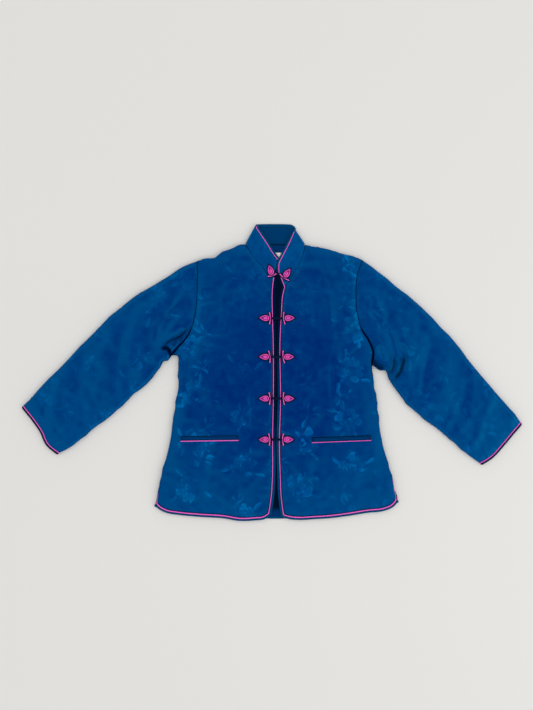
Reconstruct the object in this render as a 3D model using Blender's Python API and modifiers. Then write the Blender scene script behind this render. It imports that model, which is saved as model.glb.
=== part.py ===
"""Padded silk jacket with a stand collar and frog fastenings, laid flat with its front up.

Metres, +Z up. The jacket lies on z = 0 with the collar towards +Y, and the origin is under the middle of its
back. Right and left are the wearer's: the right side is on -X. The tables below are in millimetres.
"""

import math
from collections import namedtuple

import bmesh
import bpy
import numpy as np
from mathutils import Vector
from mathutils.bvhtree import BVHTree

MM = 0.001

# Cloth walls, and the gaps between them
GAP = 0.35 * MM  # at a seam
LAYER_GAP = 0.4 * MM  # where one panel lies on another
BACK_WALL = 4.5 * MM  # the padded back, pressed flat by what lies on it
FRONT_LEVEL = BACK_WALL + LAYER_GAP  # the underside of the fronts
SEAM_WALL = 4.4 * MM  # a panel where it is sewn and the padding is trimmed away
PAD = 6.2 * MM  # a panel at its full loft
EDGE_REACH = 18 * MM  # from a seam to the full loft
CROWN = 2.4 * MM  # extra loft in the middle of a panel
CROWN_REACH = 95 * MM
SLEEVE_LOFT = 13 * MM  # both walls of a sleeve, lying on each other
SLEEVE_ROUND = 10 * MM  # how far in from its folded edge a sleeve is flat
SLEEVE_PLAY = 0.9 * MM  # the slit inside a sleeve
SLEEVE_MIDDLE = 0.45  # the slit's height, as a share of the sleeve's thinnest place
COLLAR_WALL = 3.2 * MM
COLLAR_LIFT = 1.0 * MM  # the collar's front halves, above the level of the fronts
COLLAR_TURN = (90, 54, 18, -18, -54, -90)  # degrees round the half circle where the collar turns over
COLLAR_TURN_CLEAR = 2.6 * MM  # from the neck seam, where the turn is too tight to follow it

# Trim
BINDING_WIDTH = 7.4 * MM
CUFF_BINDING_WIDTH = 7.6 * MM
BINDING_WALL = 2.4 * MM
COLLAR_BINDING_GAP = 1.0 * MM
COLLAR_BINDING_WIDTH = 6.6 * MM
PIPING_RADIUS = 1.3 * MM
WELT_WALL = 1.7 * MM
LEAF_LENGTH = 25.5 * MM
LEAF_WIDTH = 17 * MM
LEAF_LOFT = 3.2 * MM
LEAF_ENDS = (0.04, 0.97)  # shares of the leaf's length where its blunt base and tip are
LEAF_FULLNESS = 0.62  # under 1 moves the widest place towards the base
BAR_RADIUS = 1.7 * MM
BAR_BOW = 2.2 * MM  # the middle of a cross bar bends towards the opening
KNOT_RADIUS = 3.2 * MM
STEM_RADIUS = 1.5 * MM
LABEL_SIZE = (36 * MM, 17 * MM, 0.7 * MM)

# How finely the pieces are divided
SIDE_ROWS = 9
ARMHOLE_ROWS = 10
SHOULDER_COLUMNS = 5
NECK_COLUMNS = 6
SLEEVE_ROWS = 18
COLLAR_ROWS = 2
HEM_CROWDING = 0.7  # how far the hem's points move towards its rounded corners
VENT_STEPS = 4
WELT_STEPS = 12
BAR_STEPS = 4
LEAF_STEPS = 5
KNOT_STEPS = 8

# Outlines at the piping line, a row for each point: the right side's x and y, then the left side's
Pair = namedtuple("Pair", "right_x right_y left_x left_y")

SHOULDER = (  # from the sleeve to the neck, with the soft steps of the padding
    Pair(-186, 277.5, 227.5, 280),
    Pair(-168, 284, 204, 289),
    Pair(-139, 287, 171, 298),
    Pair(-128.5, 297, 138, 308.5),
    Pair(-100.5, 308, 108, 313.5),
    Pair(-87, 315.5, 96, 316),
    Pair(-66, 319.5, 85, 317.5),
)
NECK = (  # from the shoulder to the front edge
    Pair(-66, 319.5, 85, 317.5),
    Pair(-55, 303, 77, 291),
    Pair(-33, 274.5, 67, 268),
    Pair(-19.5, 259, 56, 250),
    Pair(-10, 240, 45, 229),
    Pair(4, 226, 33, 213),
)
ARMHOLE = (  # from the shoulder to the underarm
    Pair(-186, 277.5, 227.5, 280),
    Pair(-185.5, 241, 214, 242),
    Pair(-185.5, 205, 211, 200),
    Pair(-189, 155, 216, 137.5),
    Pair(-203, 104, 225, 109),
    Pair(-219, 79.5, 243, 83),
    Pair(-237, 61, 256, 50),
    Pair(-251, 42, 252, 18),
)
SIDE = (  # from the underarm to the hem, flaring
    Pair(-251, 42, 252, 18),
    Pair(-243, 43, 251.5, 12.5),
    Pair(-235, 39.5, 251.5, 6),
    Pair(-233, 20, 254, -8),
    Pair(-233.5, -30, 257.5, -30),
    Pair(-242.5, -90, 265, -90),
    Pair(-256, -180, 276, -175),
    Pair(-279, -270, 303, -272),
    Pair(-283, -305, 310, -306),
    Pair(-287, -328, 311, -320),
)
FRONT_EDGE = (  # from the neck to the hem
    Pair(4, 226, 33, 213),
    Pair(2, 205, 28, 192),
    Pair(2.3, 142, 25, 150),
    Pair(4, 80, 21.3, 80),
    Pair(4.3, -70, 22.8, -70),
    Pair(2.5, -170, 19.8, -182),
    Pair(1.8, -270, 22, -262),
    Pair(-0.8, -310, 24.2, -312),
    Pair(-7, -353, 30, -357),
)
HEM = (  # from the front edge to the vent
    Pair(-7, -353, 30, -357),
    Pair(-19, -361, 49, -361.5),
    Pair(-41, -364, 72, -363),
    Pair(-84, -365, 106, -361),
    Pair(-112, -360, 141, -359),
    Pair(-181, -355, 190, -353),
    Pair(-234, -350, 240, -345),
    Pair(-262, -345, 281, -340),
    Pair(-279, -336, 300, -332),
    Pair(-287, -328, 311, -320),
)
SLEEVE_UPPER = (  # the folded edge, from the shoulder to the cuff
    Pair(-186, 277.5, 227.5, 280),
    Pair(-212, 267.5, 254.5, 261.5),
    Pair(-236, 255, 279.5, 240.5),
    Pair(-283, 223.5, 336, 195),
    Pair(-336, 195, 386, 150),
    Pair(-392.5, 148.5, 445, 91),
    Pair(-454.5, 88.5, 493, 31.5),
    Pair(-511.5, 27.5, 542.5, -28.5),
    Pair(-570, -31, 589.5, -82.5),
    Pair(-596, -59, 609, -106),
    Pair(-621, -84, 623, -125.5),
)
SLEEVE_LOWER = (  # the seamed edge, from the underarm to the cuff
    Pair(-251, 42, 252, 18),
    Pair(-259, 28.5, 273, 4),
    Pair(-271.5, 25, 284.5, 2.5),
    Pair(-282, 6, 290, -8),
    Pair(-303.5, -19.5, 300, -30),
    Pair(-347, -59, 322, -61),
    Pair(-397, -107, 368, -106.5),
    Pair(-456, -151, 425.5, -149.5),
    Pair(-484, -174, 477.5, -196.5),
    Pair(-520, -197.5, 498.5, -212.5),
    Pair(-531, -202.5, 521.5, -228),
)
CUFF = (  # the piping line, from the folded edge to the seamed edge
    Pair(-621, -84, 623, -125.5),
    Pair(-592, -120, 600.5, -151.5),
    Pair(-572.5, -149, 575.5, -181.5),
    Pair(-559, -178, 549, -210),
    Pair(-531, -202.5, 521.5, -228),
)
COLLAR_TOP = (  # the collar's piping line, from its fold to its front end
    Pair(-40.5, 363, 59, 354.5),
    Pair(-27, 343, 51, 335),
    Pair(-12, 321, 40.5, 313),
    Pair(1, 299.5, 27.5, 288),
    Pair(9, 288, 19.5, 271),
    Pair(14.5, 281.5, 19, 248),
)
TRIM_START = Pair(5.8, 235, 24, 235)  # where the front trim starts, on the end of the collar
VENT_LENGTH = {"right": 26 * MM, "left": 50 * MM}

# Lines across the back, from the right side to the left
Point = namedtuple("Point", "x y")

BACK_HEM = (
    Point(-290.5, -330.5),
    Point(-264, -342),
    Point(-179, -350),
    Point(-79, -357),
    Point(11, -360.5),
    Point(96, -357),
    Point(196, -347),
    Point(281, -335),
    Point(315.5, -320.5),
)
BACK_NECK = (Point(-66, 319.5), Point(-24, 318.5), Point(10, 317.5), Point(46, 317), Point(85, 317.5))
BACK_COLLAR_TOP = (
    Point(-40.5, 363),
    Point(-14, 364),
    Point(9, 364),
    Point(35, 363.5),
    Point(50, 362),
    Point(59, 354.5),
)
LABEL_AT = Point(8.5, 290)

# The largest folds of the upper surface: soft ridges, and troughs where the height is negative
Fold = namedtuple("Fold", "x0 y0 x1 y1 width height")

FOLDS = (
    Fold(-214, 112, -272, 40, 15, 3.0),  # right underarm, rolled up behind the seam
    Fold(-246, 150, -300, 62, 16, -2.0),
    Fold(-262, 205, -330, 110, 26, 1.6),
    Fold(-400, 120, -430, -70, 24, 1.4),  # right elbow
    Fold(-470, 50, -500, -110, 22, -1.2),
    Fold(262, 118, 296, 22, 13, 2.6),  # left underarm
    Fold(286, 120, 318, 18, 13, -2.2),
    Fold(318, 130, 350, 0, 18, 2.0),
    Fold(440, 70, 398, -100, 24, 1.4),  # left elbow
    Fold(-190, 190, -150, 60, 30, 1.6),  # fullness of the chest
    Fold(205, 190, 165, 60, 30, 1.6),
    Fold(-215, -60, -235, -260, 28, 1.5),  # flare of the sides
    Fold(228, -60, 262, -260, 28, 1.5),
)

# Pocket openings: the line of the piping under each welt, and the welt's height
Pocket = namedtuple("Pocket", "side x0 y0 x1 y1 height")

POCKETS = (
    Pocket("right", -226, -172.5, -83, -170.5, 12.5),
    Pocket("left", 101, -176, 248, -170.5, 13),
)

# Frogs: on each side the bar's middle, the way the leaf points and the bar's length, and the knot between
Frog = namedtuple(
    "Frog",
    "right_x right_y right_turn right_bar left_x left_y left_turn left_bar knot_x knot_y knot_length",
)

FROGS = (
    Frog(1.5, 242, 108, 19.5, 32, 236.5, 55, 25.5, 16.5, 244.5, 6.6),
    Frog(-4.8, 134, 177, 27, 32, 134, 3, 28, 13.5, 134, 26),
    Frog(-5.5, 38, 180, 27, 30.5, 38, 0, 28.5, 12.5, 38, 26),
    Frog(-5.5, -66, 180, 28, 31, -66, 0, 28, 12.75, -66, 26.5),
    Frog(-6, -168.5, 180, 27.5, 29.5, -168.5, 0, 27, 11.75, -168.5, 25.5),
)

# Finishes: colour as linear RGB, and roughness
Finish = namedtuple("Finish", "colour roughness")

FINISHES = {
    "silk": Finish((0.0015, 0.046, 0.20), 0.42),
    "binding": Finish((0.002, 0.026, 0.085), 0.5),
    "piping": Finish((0.80, 0.10, 0.52), 0.4),
    "frog": Finish((0.70, 0.085, 0.46), 0.45),
    "knot": Finish((0.006, 0.012, 0.06), 0.5),
    "label": Finish((0.78, 0.74, 0.64), 0.8),
}


def clear_scene():
    for thing in list(bpy.data.objects):
        bpy.data.objects.remove(thing, do_unlink=True)


def material_of(kind):
    """The Principled material of a finish, made on its first use."""
    if kind in bpy.data.materials:
        return bpy.data.materials[kind]
    material = bpy.data.materials.new(kind)
    material.use_nodes = True
    shader = material.node_tree.nodes["Principled BSDF"]
    shader.inputs["Base Color"].default_value = (*FINISHES[kind].colour, 1)
    shader.inputs["Roughness"].default_value = FINISHES[kind].roughness
    shader.inputs["Metallic"].default_value = 0
    return material


def place(name, data, kind):
    """A new object in the jacket's collection, with its finish."""
    data.materials.append(material_of(kind))
    thing = bpy.data.objects.new(name, data)
    jacket.objects.link(thing)
    pieces[name] = thing
    return thing


def of_side(table, side):
    """One side's points of a paired table, in metres."""
    return np.array([(getattr(row, side + "_x"), getattr(row, side + "_y")) for row in table]) * MM


def in_metres(points):
    return np.array(points, float) * MM


def lengths_along(path):
    """How far along a path each of its points is."""
    return np.concatenate([[0], np.cumsum(np.linalg.norm(np.diff(path, axis=0), axis=1))])


def walk(path, lengths):
    """Points of a path, these lengths along it."""
    return np.stack([np.interp(lengths, lengths_along(path), axis) for axis in path.T], axis=1)


def drawn_in(path, reach):
    """A path's points moved along it, away from both ends. The move fades out at three times the reach."""
    lengths = lengths_along(path)
    start, end = (reach - np.minimum(span / 3, reach) for span in (lengths, lengths[-1] - lengths))
    return walk(path, lengths + start - end)


def smooth(points, count, shares=None):
    """count + 1 points along the smooth curve through these, or points at the given shares of its length."""
    knots = lengths_along(points)
    slopes = np.gradient(points, knots, axis=0)
    fine = np.linspace(0, knots[-1], 40 * len(points))
    span = np.clip(np.searchsorted(knots, fine, side="right") - 1, 0, len(knots) - 2)
    width = (knots[span + 1] - knots[span])[:, None]
    t = (fine - knots[span])[:, None] / width
    curve = (
        (2 * t**3 - 3 * t**2 + 1) * points[span]
        + (t**3 - 2 * t**2 + t) * width * slopes[span]
        + (3 * t**2 - 2 * t**3) * points[span + 1]
        + (t**3 - t**2) * width * slopes[span + 1]
    )
    shares = np.linspace(0, 1, count + 1) if shares is None else shares
    return walk(curve, shares * lengths_along(curve)[-1])


def crowded(count, amount=1):
    """Shares from 0 to 1 that crowd towards both ends, for a section that rounds over at its edges."""
    even = np.arange(count + 1) / count
    return even + amount * ((1 - np.cos(np.pi * even)) / 2 - even)


def patch(south, north, west, east, v_shares=None):
    """A grid of plan points between four edges that meet at their ends."""
    u = np.linspace(0, 1, len(south))[:, None, None]
    v = (np.linspace(0, 1, len(west)) if v_shares is None else v_shares)[None, :, None]
    across = (1 - v) * south[:, None] + v * north[:, None]
    along = (1 - u) * west[None] + u * east[None]
    corners = (1 - u) * ((1 - v) * south[0] + v * north[0]) + u * ((1 - v) * south[-1] + v * north[-1])
    return across + along - corners


def joined(*lines):
    """Lines laid end to end, each starting where the last one ends."""
    return np.concatenate([lines[0], *(part[1:] for part in lines[1:])])


def distance(points, path):
    """How far each plan point is from a path."""
    start, way = path[:-1], np.diff(path, axis=0)
    share = ((points[..., None, :] - start) * way).sum(-1) / (way**2).sum(-1)
    nearest = start + np.clip(share, 0, 1)[..., None] * way
    return np.linalg.norm(points[..., None, :] - nearest, axis=-1).min(-1)


def rise(span, reach):
    """From 0 at an edge to 1 at reach, levelling off."""
    return 1 - (1 - np.clip(span / reach, 0, 1)) ** 2


def folds_at(points):
    """The height of all folds at plan points."""
    height = np.zeros(points.shape[:-1])
    for fold in FOLDS:
        ends = in_metres([(fold.x0, fold.y0), (fold.x1, fold.y1)])
        height += fold.height * MM * np.exp(-((distance(points, ends) / (fold.width * MM)) ** 2))
    return height


def unit(vectors):
    return vectors / np.linalg.norm(vectors, axis=-1, keepdims=True)


def outward(path, away_from):
    """Unit normals of a plan path, on the side away from a point."""
    way = np.gradient(path, axis=0)
    normal = unit(np.stack([way[:, 1], -way[:, 0]], axis=1))
    middle = len(path) // 2
    return normal * np.sign(np.dot(normal[middle], path[middle] - away_from))


def at_height(plan, height):
    """Plan points raised to one height, or to one each."""
    return np.concatenate([plan, np.broadcast_to(height, plan.shape[:-1])[..., None]], axis=-1)


def wall(name, outer, inner, kind, ring=False):
    """A closed wall between two grids of points. As a ring, the grid's last column meets its first."""
    rows, columns = outer.shape[0] - 1, outer.shape[1] - 1
    mesh = bmesh.new()
    bmesh.ops.create_grid(mesh, x_segments=rows, y_segments=columns, size=1)
    row = mesh.verts.layers.int.new("row")
    column = mesh.verts.layers.int.new("column")
    for vertex in mesh.verts:
        vertex[row] = round((vertex.co.x + 1) / 2 * rows)
        vertex[column] = round((vertex.co.y + 1) / 2 * columns)
        vertex.co = outer[vertex[row], vertex[column]]
    if ring:
        bmesh.ops.remove_doubles(mesh, verts=mesh.verts, dist=0.01 * MM)
    made = bmesh.ops.extrude_face_region(mesh, geom=mesh.faces[:], use_keep_orig=True)
    for vertex in (part for part in made["geom"] if isinstance(part, bmesh.types.BMVert)):
        vertex.co = inner[vertex[row], vertex[column]]
    bmesh.ops.recalc_face_normals(mesh, faces=mesh.faces)
    data = bpy.data.meshes.new(name)
    mesh.to_mesh(data)
    mesh.free()
    data.shade_smooth()
    data.set_sharp_from_angle(angle=math.radians(40))
    return place(name, data, kind)


def cord(name, points, radius, kind):
    """A round cord through points in space."""
    data = bpy.data.curves.new(name, "CURVE")
    data.dimensions = "3D"
    data.bevel_depth = radius
    data.bevel_resolution = 1
    data.use_fill_caps = True
    spline = data.splines.new("POLY")
    spline.points.add(len(points) - 1)
    for point, where in zip(spline.points, points):
        point.co = (*where, 1)
    return place(name, data, kind)


def surface_of(names):
    """A search tree of these pieces' surfaces, to lay other pieces on."""
    bpy.context.view_layer.update()
    graph = bpy.context.evaluated_depsgraph_get()
    corners, faces = [], []
    for name in names:
        seen = pieces[name].evaluated_get(graph)
        mesh = seen.to_mesh()
        first = len(corners)
        corners += [vertex.co.copy() for vertex in mesh.vertices]
        faces += [[first + index for index in face.vertices] for face in mesh.polygons]
        seen.to_mesh_clear()
    return BVHTree.FromPolygons(corners, faces)


def top_of(names, plan, margin):
    """Height of these pieces' upper surface at plan points, the highest within a margin of each."""
    surface = surface_of(names)
    ring = np.arange(8) * math.pi / 4
    around = [(0, 0), *((margin * math.cos(angle), margin * math.sin(angle)) for angle in ring)]
    heights = np.zeros(plan.shape[:-1])
    for index in np.ndindex(heights.shape):
        x, y = plan[index]
        hits = [surface.ray_cast(Vector((x + dx, y + dy, 1)), Vector((0, 0, -1)))[0] for dx, dy in around]
        heights[index] = max((hit.z for hit in hits if hit), default=0)
    return heights


def laid_cord(name, plan, radius, kind, under, stiff=False):
    """A round cord lying along a plan path on other pieces. A stiff one stays level."""
    level = top_of(under, plan, radius) + GAP + radius
    if stiff:
        level = level.max()
    return cord(name, at_height(plan, level), radius, kind)


def body_edges(side):
    """A side's seams as sampled lines, which the panels, the sleeve and the collar share."""
    return {
        "shoulder": smooth(of_side(SHOULDER, side), SHOULDER_COLUMNS),
        "neck": smooth(of_side(NECK, side), NECK_COLUMNS),
        "armhole": smooth(of_side(ARMHOLE, side), None, crowded(ARMHOLE_ROWS)),
        "side": smooth(of_side(SIDE, side), SIDE_ROWS),
        "edge": smooth(of_side(FRONT_EDGE, side), SIDE_ROWS + ARMHOLE_ROWS),
        "hem": smooth(of_side(HEM, side), None, crowded(SHOULDER_COLUMNS + NECK_COLUMNS, HEM_CROWDING)),
    }


def make_back():
    """The back, flat on the floor, and its hem's binding."""
    hem = smooth(in_metres(BACK_HEM), 2 * SHOULDER_COLUMNS + NECK_COLUMNS)
    flanks = []
    for side, corner in (("right", hem[:1]), ("left", hem[-1:])):
        upwards = np.concatenate([corner, edges[side]["side"][-2::-1]])
        flanks.append(joined(upwards, edges[side]["armhole"][::-1]))
    top = joined(edges["right"]["shoulder"], back_neck, edges["left"]["shoulder"][::-1])
    plan = patch(hem, top, *flanks)
    wall("back", at_height(plan, BACK_WALL), at_height(plan, 0), "silk")
    normal = outward(hem, np.zeros(2))
    strip = np.stack([hem + GAP * normal, hem + BINDING_WIDTH * normal], axis=1)
    wall("binding_back", at_height(strip, BINDING_WALL), at_height(strip, 0), "binding")


def make_front(side):
    """A front, lying on the back and full in the middle."""
    part = edges[side]
    top = joined(part["shoulder"], part["neck"])
    flank = joined(part["side"][::-1], part["armhole"][::-1])
    plan = patch(part["hem"][::-1], top, flank, part["edge"][::-1])
    span = distance(plan, joined(top, part["edge"], part["hem"], flank))
    loft = SEAM_WALL + (PAD - SEAM_WALL) * rise(span, EDGE_REACH) + CROWN * rise(span, CROWN_REACH)
    loft += folds_at(plan) * rise(span, EDGE_REACH)
    wall("front_" + side, at_height(plan, FRONT_LEVEL + loft), at_height(plan, FRONT_LEVEL), "silk")


def make_front_trim(side):
    """A front's binding and piping, from the collar's end down the edge and round the hem to the side.

    The binding ends at the side, and the piping goes on up the vent.
    """
    start = of_side([TRIM_START], side)
    path = joined(np.concatenate([start, edges[side]["edge"]]), edges[side]["hem"])
    normal = outward(path, edges[side]["armhole"][-1])
    strip = np.stack([path + GAP * normal, path + BINDING_WIDTH * normal], axis=1)
    binding = "binding_front_" + side
    wall(binding, at_height(strip, FRONT_LEVEL + BINDING_WALL), at_height(strip, FRONT_LEVEL), "binding")
    vent = walk(edges[side]["side"][::-1], np.linspace(0, VENT_LENGTH[side], VENT_STEPS + 1))
    under = ["front_" + side, binding, "collar"]
    laid_cord("piping_front_" + side, joined(path, vent), PIPING_RADIUS, "piping", under)


def flat_tube(name, plan, loft, kind):
    """A padded tube lying flat. Its sections are rows of plan points, from one folded edge to the other."""
    columns = plan.shape[1] - 1
    span = np.minimum(distance(plan, plan[:, 0]), distance(plan, plan[:, -1]))
    round_over = np.sqrt(rise(span, SLEEVE_ROUND))
    middle = SLEEVE_MIDDLE * loft.min(axis=1, keepdims=True)
    top, bottom = middle + (loft - middle) * round_over, middle * (1 - round_over)
    inside = np.array([drawn_in(row, PAD) for row in plan])
    play = SLEEVE_PLAY / 2 * np.sin(np.pi * np.arange(columns + 1) / columns)
    outer = [at_height(plan, top), at_height(plan, bottom)[:, -2::-1]]
    inner = [at_height(inside, middle + play), at_height(inside, middle - play)[:, -2::-1]]
    wall(name, np.concatenate(outer, axis=1), np.concatenate(inner, axis=1), kind, ring=True)


def make_sleeve(side):
    """A sleeve from the armhole to the cuff's piping line, then the cuff's binding and piping."""
    shares = crowded(ARMHOLE_ROWS)
    cuff = smooth(of_side(CUFF, side), None, shares)
    armhole = edges[side]["armhole"] - 2 * GAP * outward(edges[side]["armhole"], cuff[ARMHOLE_ROWS // 2])
    upper, lower = (smooth(of_side(table, side), SLEEVE_ROWS) for table in (SLEEVE_UPPER, SLEEVE_LOWER))
    upper[0], lower[0] = armhole[0], armhole[-1]
    plan = patch(upper, lower, armhole, cuff, shares)
    sewn = FRONT_LEVEL + SEAM_WALL
    span = np.minimum(distance(plan, armhole), distance(plan, cuff))
    loft = sewn + (SLEEVE_LOFT - sewn) * rise(span, 2 * EDGE_REACH) + folds_at(plan) * rise(span, EDGE_REACH)
    flat_tube("sleeve_" + side, plan, loft, "silk")
    normal = outward(cuff, armhole[ARMHOLE_ROWS // 2])
    ring = np.stack([cuff + GAP * normal, cuff + CUFF_BINDING_WIDTH * normal])
    flat_tube("binding_cuff_" + side, ring, np.full(ring.shape[:-1], sewn), "binding")
    under = ["sleeve_" + side, "binding_cuff_" + side]
    laid_cord("piping_cuff_" + side, cuff, PIPING_RADIUS, "piping", under)


def collar_stations():
    """Lines from the neck seam to the piping line, from the right front end round the back to the left one.

    The collar's back lies on the floor and its fronts lie over it. Each side turns over in a half circle.
    """
    low = COLLAR_WALL / 2
    high = FRONT_LEVEL + COLLAR_LIFT + COLLAR_WALL / 2
    radius = (high - low) / 2
    tops = {side: smooth(of_side(COLLAR_TOP, side), NECK_COLUMNS) for side in edges}
    back_top = smooth(in_metres(BACK_COLLAR_TOP), NECK_COLUMNS)
    seams, lines = [], []

    def add(seam, top, height, clear=GAP):
        seams.append((*(seam + clear * unit(top - seam)), height))
        lines.append((*top, height))

    def add_turn(side, angles, inwards):
        for angle in np.radians(angles):
            shift = np.array((inwards * radius * (1 - math.cos(angle)), 0))
            height = low + radius * (1 + math.sin(angle))
            add(edges[side]["neck"][0] + shift, tops[side][0] + shift, height, COLLAR_TURN_CLEAR)

    for seam, top in zip(edges["right"]["neck"][:0:-1], tops["right"][:0:-1]):
        add(seam, top, high)
    add_turn("right", COLLAR_TURN, 1)
    for seam, top in zip(back_neck[1:-1], back_top[1:-1]):
        add(seam, top, low)
    add_turn("left", COLLAR_TURN[::-1], -1)
    for seam, top in zip(edges["left"]["neck"][1:], tops["left"][1:]):
        add(seam, top, high)
    return np.array(seams), np.array(lines)


def make_collar():
    """The stand collar, the binding of its top edge, and its piping where its outside shows."""
    seam, top = collar_stations()
    normal = unit(np.cross(top - seam, np.gradient((seam + top) / 2, axis=0)))
    edge_way = unit(np.cross(np.gradient(top, axis=0), normal))

    def strip(low, high, rows, thick):
        shares = np.linspace(0, 1, rows + 1)[None, :, None]
        middle = low[:, None] + shares * (high - low)[:, None]
        return middle + normal[:, None] * thick / 2, middle - normal[:, None] * thick / 2

    wall("collar", *strip(seam, top, COLLAR_ROWS, COLLAR_WALL), "silk")
    low, high = top + COLLAR_BINDING_GAP * edge_way, top + COLLAR_BINDING_WIDTH * edge_way
    wall("binding_collar", *strip(low, high, 1, BINDING_WALL), "binding")
    piping = top + normal * (COLLAR_WALL / 2 + GAP + PIPING_RADIUS)
    shown = NECK_COLUMNS + 2
    cord("piping_collar_right", piping[:shown], PIPING_RADIUS, "piping")
    cord("piping_collar_left", piping[-shown:], PIPING_RADIUS, "piping")


def make_pocket(pocket):
    """A pocket's welt, lying on its front, with the piping along its lower edge."""
    lower = smooth(in_metres([(pocket.x0, pocket.y0), (pocket.x1, pocket.y1)]), WELT_STEPS)
    up = -outward(lower, np.zeros(2))
    heights = PIPING_RADIUS + GAP, pocket.height * MM
    plan = np.stack([lower + height * up for height in heights], axis=1)
    front = "front_" + pocket.side
    level = top_of([front], plan, pocket.height * MM / 2) + GAP
    wall("welt_" + pocket.side, at_height(plan, level + WELT_WALL), at_height(plan, level), "binding")
    laid_cord("piping_pocket_" + pocket.side, lower, PIPING_RADIUS, "piping", [front])


def make_frog(row, frog, side):
    """One side of a frog: the bowed cross bar, and the leaf of coiled cord behind it."""
    middle = of_side([frog], side)[0]
    turn = math.radians(getattr(frog, side + "_turn"))
    ahead = np.array((math.cos(turn), math.sin(turn)))
    across = np.array((-ahead[1], ahead[0]))
    under = ["front_" + side, "collar"]

    sway = np.linspace(-1, 1, BAR_STEPS + 1)[:, None]
    half = getattr(frog, side + "_bar") * MM / 2
    bar = middle + half * sway * across - BAR_BOW * (1 - sway**2) * ahead
    laid_cord(f"bar_{row}_{side}", bar, BAR_RADIUS, "frog", under, stiff=True)

    along = np.linspace(*LEAF_ENDS, LEAF_STEPS + 1)[:, None, None]
    half_width = LEAF_WIDTH / 2 * np.sin(np.pi * along**LEAF_FULLNESS)
    sway = np.linspace(-1, 1, LEAF_STEPS)[None, :, None]
    plan = middle + (BAR_RADIUS + GAP + LEAF_LENGTH * along) * ahead + half_width * sway * across
    level = top_of(under, plan, BAR_RADIUS) + GAP
    loft = LEAF_LOFT * (1 - sway[..., 0] ** 2 / 2)
    wall(f"leaf_{row}_{side}", at_height(plan, level + loft), at_height(plan, level), "frog")


def make_knot(row, frog):
    """The knot button in its loop, lying across the opening over both pipings: a turned bead on a stem."""
    half = frog.knot_length * MM / 2
    bead, neck = KNOT_RADIUS, 0.8 * KNOT_RADIUS
    outline = [(0, half), (STEM_RADIUS, half), (STEM_RADIUS, neck), (neck, neck / 2), (bead, 0)]
    outline += [(radius, -height) for radius, height in outline[-2::-1]]
    data = bpy.data.meshes.new(f"knot_{row}")
    points = [(radius, 0, height) for radius, height in outline]
    data.from_pydata(points, [(index, index + 1) for index in range(len(points) - 1)], [])
    knot = place(f"knot_{row}", data, "knot")
    turned = knot.modifiers.new("turned", "SCREW")
    turned.steps = turned.render_steps = KNOT_STEPS
    turned.use_merge_vertices = True
    turned.merge_threshold = 0.01 * MM

    ends = in_metres([(frog.right_x, frog.right_y), (frog.left_x, frog.left_y)])
    way = unit(ends[1] - ends[0])
    middle = in_metres((frog.knot_x, frog.knot_y))
    stem = middle + np.linspace(-half, half, KNOT_STEPS + 1)[:, None] * way
    under = [f"{kind}_{side}" for side in edges for kind in ("front", "binding_front", "piping_front")]
    under += ["back", "collar", "binding_collar", "piping_collar_right", "piping_collar_left"]
    under += [f"bar_{row}_{side}" for side in edges]
    level = max(top_of(under, stem, STEM_RADIUS).max() + STEM_RADIUS, top_of(under, middle, bead) + bead)
    knot.location = (*middle, level + GAP)
    knot.rotation_euler = Vector((*way, 0)).to_track_quat("Z", "Y").to_euler()


def make_label():
    """The bare neck label, sewn to the inside of the back."""
    mesh = bmesh.new()
    bmesh.ops.create_cube(mesh, size=1)
    bmesh.ops.scale(mesh, vec=LABEL_SIZE, verts=mesh.verts)
    data = bpy.data.meshes.new("label")
    mesh.to_mesh(data)
    mesh.free()
    label = place("label", data, "label")
    label.location = (*in_metres(LABEL_AT), BACK_WALL + GAP + LABEL_SIZE[2] / 2)


clear_scene()
jacket = bpy.data.collections.new("silk_jacket")
bpy.context.scene.collection.children.link(jacket)
pieces = {}
edges = {side: body_edges(side) for side in ("right", "left")}
back_neck = smooth(in_metres(BACK_NECK), NECK_COLUMNS)

make_back()
make_label()
make_collar()
for side in edges:
    make_front(side)
    make_front_trim(side)
    make_sleeve(side)
for pocket in POCKETS:
    make_pocket(pocket)
for row, frog in enumerate(FROGS, start=1):
    for side in edges:
        make_frog(row, frog, side)
    make_knot(row, frog)
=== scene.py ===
import math
import re

import bmesh
import bpy
import numpy as np
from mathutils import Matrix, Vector
from mathutils.bvhtree import BVHTree


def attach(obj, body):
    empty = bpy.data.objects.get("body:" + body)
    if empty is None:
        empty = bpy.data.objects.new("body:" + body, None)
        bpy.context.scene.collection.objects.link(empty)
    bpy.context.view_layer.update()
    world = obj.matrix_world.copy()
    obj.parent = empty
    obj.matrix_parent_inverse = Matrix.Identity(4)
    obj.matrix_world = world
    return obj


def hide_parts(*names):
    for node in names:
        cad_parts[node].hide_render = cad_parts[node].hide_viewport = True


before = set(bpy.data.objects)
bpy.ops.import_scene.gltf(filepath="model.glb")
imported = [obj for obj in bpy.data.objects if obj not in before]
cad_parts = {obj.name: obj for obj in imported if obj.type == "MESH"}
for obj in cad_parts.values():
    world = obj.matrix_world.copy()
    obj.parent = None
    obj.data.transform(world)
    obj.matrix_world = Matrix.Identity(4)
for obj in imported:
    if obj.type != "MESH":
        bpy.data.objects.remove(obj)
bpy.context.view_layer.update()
print("frame loaded:", len(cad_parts), "nodes")

mm = 0.001
sides = ("right", "left")  # the wearer's: right is on -X
made = {}  # every piece by its name

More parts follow.
